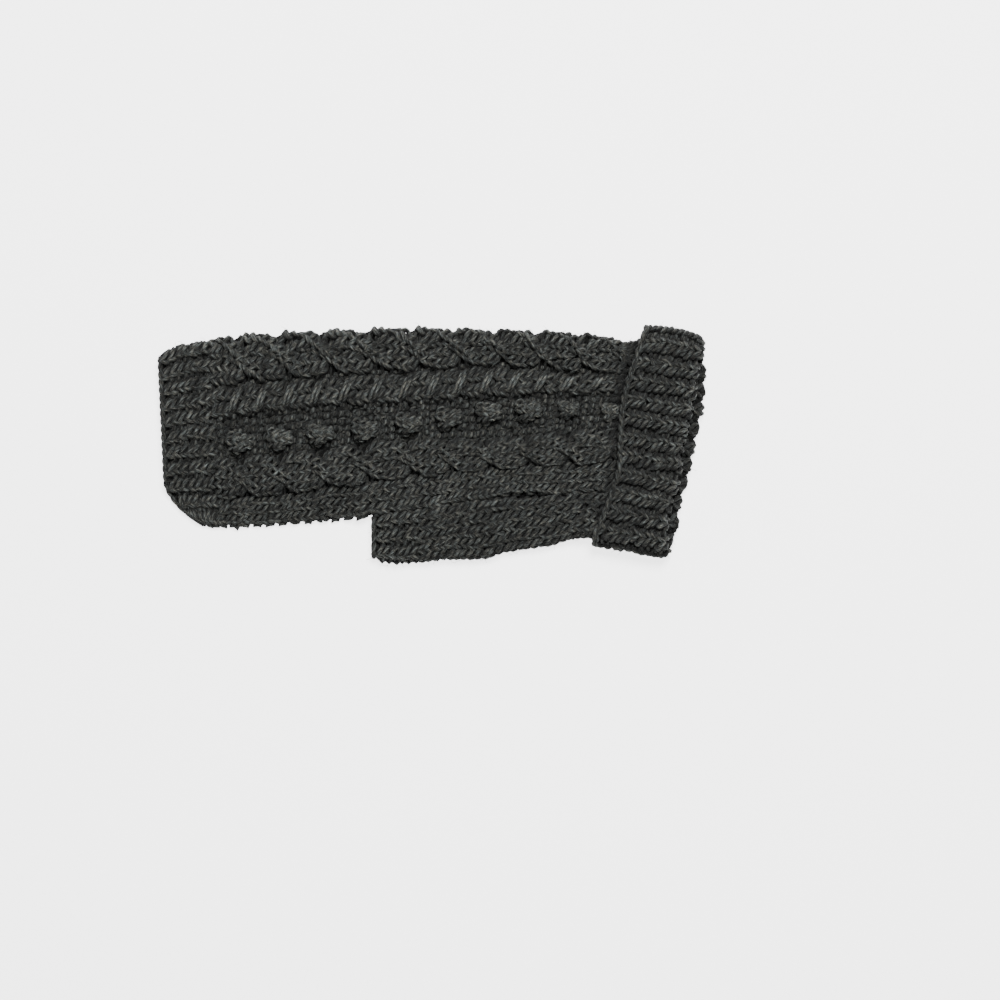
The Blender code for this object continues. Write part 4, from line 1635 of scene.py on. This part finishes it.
    def body_bands(self) -> list[Band]:
        """Set out the body's wales.

        Returns:
            The bands, from the near edge over the spine to the far edge.
        """
        back, samples = self.form.back, self.near_samples
        ground = {"lift": self.ground_lift, "tone": self.ground_tone}
        near = [
            Band(3, Stitch.KNIT, self.cloth.start, back["plain_y"], samples, lift=self.plain_lift),
            Band(4, Stitch.KNIT, back["plain_y"], back["side_y"], samples, self.side_rope),
            Band(6, Stitch.PURL, back["side_y"], back["mock_y"], samples, **ground),
            Band(2, Stitch.KNIT, back["mock_y"], self.groove, samples, self.mock),
            Band(1, Stitch.PURL, self.groove, back["rope_y"], samples, **ground),
        ]
        rope = Band(4, Stitch.KNIT, back["rope_y"], self.rope_top, samples, self.rope)
        far = [replace(band, lower=self.far(band.upper), upper=self.far(band.lower), samples=self.far_samples,
                       mirrored=True, lift=0.0, relief=self.far_relief, tone=1.0) for band in reversed(near)]
        return [*near, rope, *far]

    def knit(self) -> Yarn:
        """Work the whole panel.

        Returns:
            Its yarn.
        """
        near, far = self.hem_wales
        hem = [Band(near, Stitch.RIB, self.cloth.start, self.cloth.middle, self.near_samples),
               Band(far, Stitch.RIB, self.cloth.middle, self.cloth.end, self.far_samples)]
        return self.work(hem, self.body_bands())

    def relief(self, course: Array, across: Array) -> Array:
        """Share of the pattern's rise that stays: it is pressed flat under the roll neck."""
        y = np.minimum(across, self.cloth.fold(course))
        return self.form.pattern_share(self.form.course_x(course, y), y)

    def on_fold(self, course: Array, across: Array) -> Array:
        """How far a place is on the fold at the spine."""
        fold = self.cloth.fold(course)
        return smooth(across, fold - self.fold_reach, fold + self.cloth.around / self.fold_part)

    def hem_settled(self, course: Array, across: Array) -> Lie:
        """How the hem lies at a place, as for settled."""
        even = np.ones(np.broadcast(course, across).shape)
        return even, -self.hem_rise * self.on_fold(course, across), even

    def bobble_size(self, number: int) -> float:
        """A bobble's radius: the last ones are small."""
        small = number >= self.bobble_count - self.small_bobbles
        return self.last_bobbles_radius if small else self.bobble_radius

    def settled(self, course: Array, across: Array) -> Lie:
        """How the cloth lies at a place.

        Args:
            course: The form's course.
            across: Distance across.

        Returns:
            Share of the pattern's rise that stays, the depth by which the cloth sinks around the bobbles,
            and its tone, with painted shade around the bobbles and painted shadow under the roll neck's edge.
        """
        hollow = np.zeros(np.broadcast(course, across).shape)
        for number in range(self.bobble_count):
            first = self.bobble_first + number * self.bobble_pitch
            beside = np.hypot((course - first) * self.loop.pitch, across - self.form.back["bobble_y"](first))
            past = (beside - self.bobble_size(number)) / self.ring_width
            hollow = np.maximum(hollow, np.exp(-past * past))
        y = np.minimum(across, self.cloth.fold(course))
        shadow = self.form.neck_shadow(self.form.course_x(course, y), y)
        start, end = self.pattern_start
        in_body = smooth(course, self.hem_courses + start, self.hem_courses + end)
        stays = self.relief(course, across) * (1.0 + self.fold_rise * self.on_fold(course, across))
        return stays * in_body, self.ring_depth * hollow, (1.0 - self.ring_tone * hollow) * shadow

    def dome_course(self, row: Array) -> Array:
        """Place along a bobble's dome for a row of its loops."""
        return -self.bobble_half_length + 2 * self.bobble_half_length * row / self.bobble_rows

    def bobbles(self) -> Yarn:
        """Work the bobbles, each a small patch of its own.

        Returns:
            Their yarn, a line for each.
        """
        yarn = Yarn()
        bands = [Band(self.bobble_wales, Stitch.KNIT, level(-self.bobble_half_width),
                      level(self.bobble_half_width), self.near_samples, tone=self.bobble_tone)]
        for number in range(self.bobble_count):
            course = np.array(self.bobble_first + number * self.bobble_pitch)
            y = self.form.back["bobble_y"](course)
            base = self.cloth.place(course, y, np.array(self.bobble_root))
            radius = self.bobble_size(number)
            rise = self.bobble_rise * (radius / self.bobble_radius)
            rise = rise * mix(self.bobble_pressed, 1.0, float(self.relief(course, y)))
            dome = BobbleCloth(base, radius, max(self.bobble_least, rise))
            knitter = Knitter(dome, self.bobble_loop, seed=self.bobble_seed + number)
            rows = [knitter.course(row, bands, self.dome_course) for row in range(self.bobble_rows)]
            yarn.add(Run.join([run.back() if i % 2 else run for i, run in enumerate(rows)]))
        return yarn

    def long_stitches(self) -> Yarn:
        """Work the long stitches that cross over the mock cable, each a loop of two legs.

        Returns:
            Their yarn, a line for each.
        """
        yarn = Yarn()
        way = np.linspace(0.0, 2.0, self.long_stitch_points)
        up = 1.0 - np.abs(1.0 - way)
        leg = -np.cos(math.pi * smooth(way, *self.long_stitch_top))
        low_inset, high_inset = self.long_stitch_insets
        for middle in np.arange(self.mock.first, self.courses, self.mock.pitch):
            course = middle + self.long_stitch_lean * (up - 0.5) + self.long_stitch_gap * leg
            across = mix(self.form.back["mock_y"](course) + low_inset, self.groove(course) - high_inset, up)
            stays = self.relief(course, across)
            if stays.min() >= self.least_relief:
                rise = self.long_stitch_rise * np.sin(math.pi * up) ** self.long_stitch_fullness
                line = self.cloth.line(course, across, (self.long_stitch_root + rise) * stays)
                yarn.add(Run.even(*line, self.long_stitch_radius, self.long_stitch_tone))
        return yarn

    def stitches(self, knitted: Yarn) -> dict[str, Yarn]:
        """The panel's yarn, as pieces.

        Args:
            knitted: The yarn of its courses.

        Returns:
            Each piece's yarn, by the end of its name.
        """
        parts = {f"yarn_{i + 1}": part.joined() for i, part in enumerate(knitted.split(self.yarn_parts))}
        return {**parts, "bobbles": self.bobbles(), "long_stitches": self.long_stitches()}

    def ground_height(self, course: Array, across: Array) -> Array:
        """Height of the thin cloth, which follows the cables under their stitches.

        Args:
            course: The form's course.
            across: Distance across.

        Returns:
            The heights, outwards from the middle of the cloth's thickness.
        """
        back = self.form.back
        ridges = ((back["rope_y"](course), self.rope_top(course), self.rope),
                  (back["mock_y"](course), self.groove(course), self.mock),
                  (back["plain_y"](course), back["side_y"](course), self.side_rope))
        height = np.zeros(np.broadcast(course, across).shape)
        for low, high, cable in ridges:
            place = (across - low) / (high - low) * 2 - 1
            height = height + np.where(np.abs(place) < 1.0, cable.rise_at(course, place), 0.0)
        turn = np.clip((across - self.cloth.fold(course)) / self.cloth.around, 0.0, 1.0)
        stays, sinks, _ = self.settled(course, across)
        on_fold = mix(*self.ground_on_fold, self.relief(course, across)) * np.sin(math.pi * turn)
        return self.ground_share * height * stays - sinks - self.ground_depth + on_fold

    def cut_length(self) -> float:
        """Length of the spine, by which the panel's mean width gives its area."""
        return float(np.hypot(BACK[-1].spine_x - BACK[0].spine_x, BACK[-1].spine_y - BACK[0].spine_y))


@dataclass
class BellyPanel(Panel):
    """The belly panel, with its ribbed hem."""

    node: str = "belly_panel"
    loop: Loop = Loop(shade=0.58, radius=1.36)
    seed: int = 23
    hem_courses: int = 6
    first_course: float = 0.75
    edge_inset: float = 1.0
    near_samples: int = 14
    plain_lift: float = 0.35
    turn_reach: float = 0.6
    cast_on: TwistedEdge = TwistedEdge(14)
    fuzz: Fuzz = Fuzz(900, seed=72)
    sheet_courses: int = 52
    sheet_columns: tuple[int, int, int] = (14, 9, 16)
    wales: tuple[int, int] = (5, 8)
    hem_wales: tuple[int, int] = (6, 10)
    tone: float = 0.8
    ground_depth: float = 1.1

    def __post_init__(self) -> None:
        """Make the folded cloth."""
        self.cloth = FoldedCloth(self.form, -1.0, self.fold_y, self.seam("edge_y"), self.seam("far_y"),
                                 self.form.belly_x)

    @property
    def courses(self) -> float:
        """Number of courses."""
        return self.form.belly_courses

    def fold_y(self, course: Array) -> Array:
        """Place across where the fold starts."""
        x = self.form.belly_x(course, BELLY[0].fold_y)
        return self.form.belly["fold_y"](x) + self.form.layers.outer

    def seam(self, column: str) -> Line:
        """Find a seam with the back panel.

        Args:
            column: The back panel's edge, in its table.

        Returns:
            The seam's place across at each course.
        """
        def across(course: Array) -> Array:
            """Place across of this panel's edge, which the leg slit opens."""
            x = self.form.belly_x(course, BACK[-1].edge_y)
            return self.form.edge_y(x, column) - self.edge_inset - self.form.slit(x)

        return across

    def settled(self, course: Array, across: Array) -> Lie:
        """How the cloth lies at a place: flat, with painted shadow beside the roll neck.

        Args:
            course: The form's course.
            across: Distance across.

        Returns:
            Share of its lift, depth of its hollows and tone, which holds the painted shadow.
        """
        even = np.ones(np.broadcast(course, across).shape)
        y = -np.minimum(across, self.cloth.fold(course))
        return even, 0.0 * even, self.form.neck_shadow(self.form.belly_x(course, y), y)

    def knit(self) -> Yarn:
        """Work the whole panel.

        Returns:
            Its yarn.
        """
        cloth = self.cloth
        halves = ((cloth.start, cloth.middle, self.near_samples), (cloth.middle, cloth.end, self.far_samples))
        plain = [Band(wales, Stitch.KNIT, *half, lift=self.plain_lift, tone=self.tone)
                 for wales, half in zip(self.wales, halves)]
        hem = [Band(wales, Stitch.RIB, *half) for wales, half in zip(self.hem_wales, halves)]
        return self.work(hem, plain)

    def stitches(self, knitted: Yarn) -> dict[str, Yarn]:
        """The panel's yarn, in one piece."""
        return {"yarn": knitted.joined()}

    def ground_height(self, course: Array, across: Array) -> Array:
        """Height of the thin cloth, even under the stitches."""
        return np.full(across.shape, -self.ground_depth)


@dataclass
class RollNeck:
    """The roll neck, a tube of rib turned down over the body."""

    form: SweaterForm
    cloth: NeckCloth = field(init=False)
    node: str = "roll_neck"
    loop: Loop = Loop(pitch=3.8, sway=0.32, bias=0.6, radius=1.32)
    seed: int = 37
    around: float = 270.0
    turned_depth: float = 42.0
    fold_depth: float = 6.0
    inner_depth: float = 19.8
    inner_courses: int = 4
    first_row: float = 0.1
    row_shift: float = 0.7     # the last loops end at the edge
    samples: int = 14
    tone: float = 0.88
    rib_lifts: tuple[float, float] = (0.65, -1.2)
    far_tone: float = 0.55     # painted shade: the far layer's colour is darker, as it lies in the near one's shade
    near_side: tuple[float, float] = (-0.5, 0.3)
    rim_tone: float = 0.3      # painted highlight: the near fold's colour is lighter, as it catches the light
    cast_off_course: float = -0.3
    cast_off: TwistedEdge = TwistedEdge(48, radius=1.5, swing=1.0, lift=1.2)
    fuzz: Fuzz = Fuzz(1200, seed=73)
    sheet_height: float = -0.5
    sheet_start: float = 0.3
    sheet_inner: float = 4.5   # courses that the thin cloth runs on inside
    sheet_rows: tuple[int, int, int] = (14, 7, 6)
    sheet_columns: int = 140

    def __post_init__(self) -> None:
        """Make the tube."""
        self.cloth = NeckCloth(self.form)

    def to_form(self, course: Array) -> Array:
        """The tube's course for a counted one."""
        return course - self.row_shift

    def settled(self, course: Array, across: Array) -> Lie:
        """How the cloth lies at a place: even, with painted shade on the far side and a painted highlight on
        the near fold.

        Args:
            course: The tube's course.
            across: Wale around it.

        Returns:
            Share of its lift, depth of its hollows and tone.
        """
        cloth = self.cloth
        _, _, up = cloth.ring(across)
        near = smooth(up, *self.near_side)
        rim = np.exp(-((course + cloth.face_courses + cloth.fold_courses / 2) / cloth.fold_courses) ** 2)
        even = np.ones(np.broadcast(course, across).shape)
        return even, 0.0 * even, mix(self.far_tone, 1.0 + self.rim_tone * rim, near)

    def knit(self) -> Yarn:
        """Work the tube from its inner layer over the fold to the turned-down edge.

        Returns:
            Its yarn, a line for each course.
        """
        cloth = self.cloth
        knitter = Knitter(cloth, self.loop, self.seed)
        bands = [Band(int(cloth.wales), Stitch.RIB, level(cloth.first_wale),
                      level(cloth.wales + cloth.first_wale), self.samples, tone=self.tone,
                      rib_lifts=self.rib_lifts)]
        rows = int(round(cloth.courses)) + self.inner_courses
        return Yarn([knitter.course(row - rows + self.first_row, bands, self.to_form,
                                    scale=self.around / cloth.wales, relief=self.settled)
                     for row in range(rows)])

    def build(self, wardrobe: Wardrobe) -> list[bpy.types.Object]:
        """Make and dress the tube.

        Args:
            wardrobe: Makes the pieces.

        Returns:
            The thin cloth and the pieces on it.
        """
        cloth = self.cloth
        knitted = self.knit()
        edge = self.cast_off.lay(cloth, self.cast_off_course, level(0.0), level(cloth.wales))
        yarns = [wardrobe.yarn(self.node + "_yarn", knitted.joined(), Slot.RIB),
                 wardrobe.fibres(self.node + "_fuzz", self.fuzz.grow(knitted), Slot.RIB),
                 wardrobe.yarn(self.node + "_cast_off", edge, Slot.RIB)]
        face, fold, inner = self.sheet_rows
        back = np.concatenate((np.linspace(self.sheet_start, cloth.face_courses, face)[:-1],
                               np.linspace(cloth.face_courses, cloth.courses, fold)[:-1],
                               np.linspace(cloth.courses, cloth.courses + self.sheet_inner, inner)))[:, None]
        across = np.linspace(0.0, cloth.wales, self.sheet_columns, endpoint=False)[None, :]
        points = cloth.place(-back + 0.0 * across, across + 0.0 * back,
                             np.full((len(back), self.sheet_columns), self.sheet_height))
        sheet = wardrobe.sheet(self.node, points, closed=True, slot=Slot.RIB)
        return [sheet, *yarns]


@dataclass(frozen=True)
class SoftLight:
    """A square soft light, in metres and watts."""

    name: str
    place: tuple[float, float, float]
    size: float
    power: float


@dataclass(frozen=True)
class Studio:
    """Camera straight above, a plain pale surface and soft light."""

    pixel: float = 0.63            # millimetres to a pixel
    middle: tuple[float, float] = (42.2, -34.7)
    size: int = 1000
    lens: float = 85.0
    sensor: float = 36.0
    focus_height: float = 6.0      # of the plane that the scale holds for
    floor_reach: float = 3.0       # metres
    floor_drop: float = 0.0002
    floor_colour: Colour = (0.92, 0.92, 0.92)
    floor_roughness: float = 0.8
    floor_glow: float = 3.0
    surroundings: float = 0.15
    lights: tuple[SoftLight, ...] = (SoftLight("Key", (0.3, 0.9, 1.6), 0.8, 68.0),
                                     SoftLight("Fill", (-0.5, -0.3, 1.9), 1.0, 8.0))

    def camera(self) -> None:
        """Look straight down, with the photograph's frame."""
        data = bpy.data.cameras.new("Camera")
        data.lens, data.sensor_width = self.lens, self.sensor
        distance = self.pixel * self.size / 2 * data.lens / (data.sensor_width / 2)
        camera = bpy.data.objects.new("Camera", data)
        camera.location = (self.middle[0] * MM, self.middle[1] * MM, (distance + self.focus_height) * MM)
        bpy.context.scene.collection.objects.link(camera)
        bpy.context.scene.camera = camera

    def floor(self) -> None:
        """Lay a large pale surface just under the sweater."""
        mesh = bpy.data.meshes.new("floor")
        reach, height = self.floor_reach, -self.floor_drop
        mesh.from_pydata([(-reach, -reach, height), (reach, -reach, height), (reach, reach, height),
                          (-reach, reach, height)], [], [(0, 1, 2, 3)])
        material, bench = Bench.material("Floor")
        bench.surface({
            "Base Color": (*self.floor_colour, 1.0),
            "Roughness": self.floor_roughness,
            "Emission Color": (1.0, 1.0, 1.0, 1.0),
            "Emission Strength": self.floor_glow,
        })
        mesh.materials.append(material)
        floor = bpy.data.objects.new("floor", mesh)
        bpy.context.scene.collection.objects.link(floor)

    def shine(self, lamp: SoftLight) -> None:
        """Set up a light that faces the sweater.

        Args:
            lamp: The light.
        """
        data = bpy.data.lights.new(lamp.name, "AREA")
        data.size, data.energy = lamp.size, lamp.power
        light = bpy.data.objects.new(lamp.name, data)
        light.location = lamp.place
        aim = Vector((self.middle[0] * MM, 0.0, 0.0)) - Vector(lamp.place)
        light.rotation_mode = "QUATERNION"
        light.rotation_quaternion = aim.to_track_quat("-Z", "Y")
        bpy.context.scene.collection.objects.link(light)

    def build(self) -> None:
        """Set up the camera, the surface, the lights and the pale surroundings."""
        self.camera()
        self.floor()
        for lamp in self.lights:
            self.shine(lamp)
        world = bpy.data.worlds.new("World")
        world.use_nodes = True
        background = world.node_tree.nodes["Background"]
        background.inputs["Color"].default_value = (1.0, 1.0, 1.0, 1.0)
        background.inputs["Strength"].default_value = self.surroundings
        bpy.context.scene.world = world


def main() -> None:
    """Build every piece in order, and set up the studio."""
    logging.basicConfig(level=logging.INFO, format="%(message)s")
    form = SweaterForm()
    wardrobe = Wardrobe()
    for part in (BackPanel(form), BellyPanel(form), RollNeck(form)):
        pieces = part.build(wardrobe)
        log.info("%s: %d pieces", part.node, len(pieces))
    Studio().build()


if __name__ == "__main__":
    main()
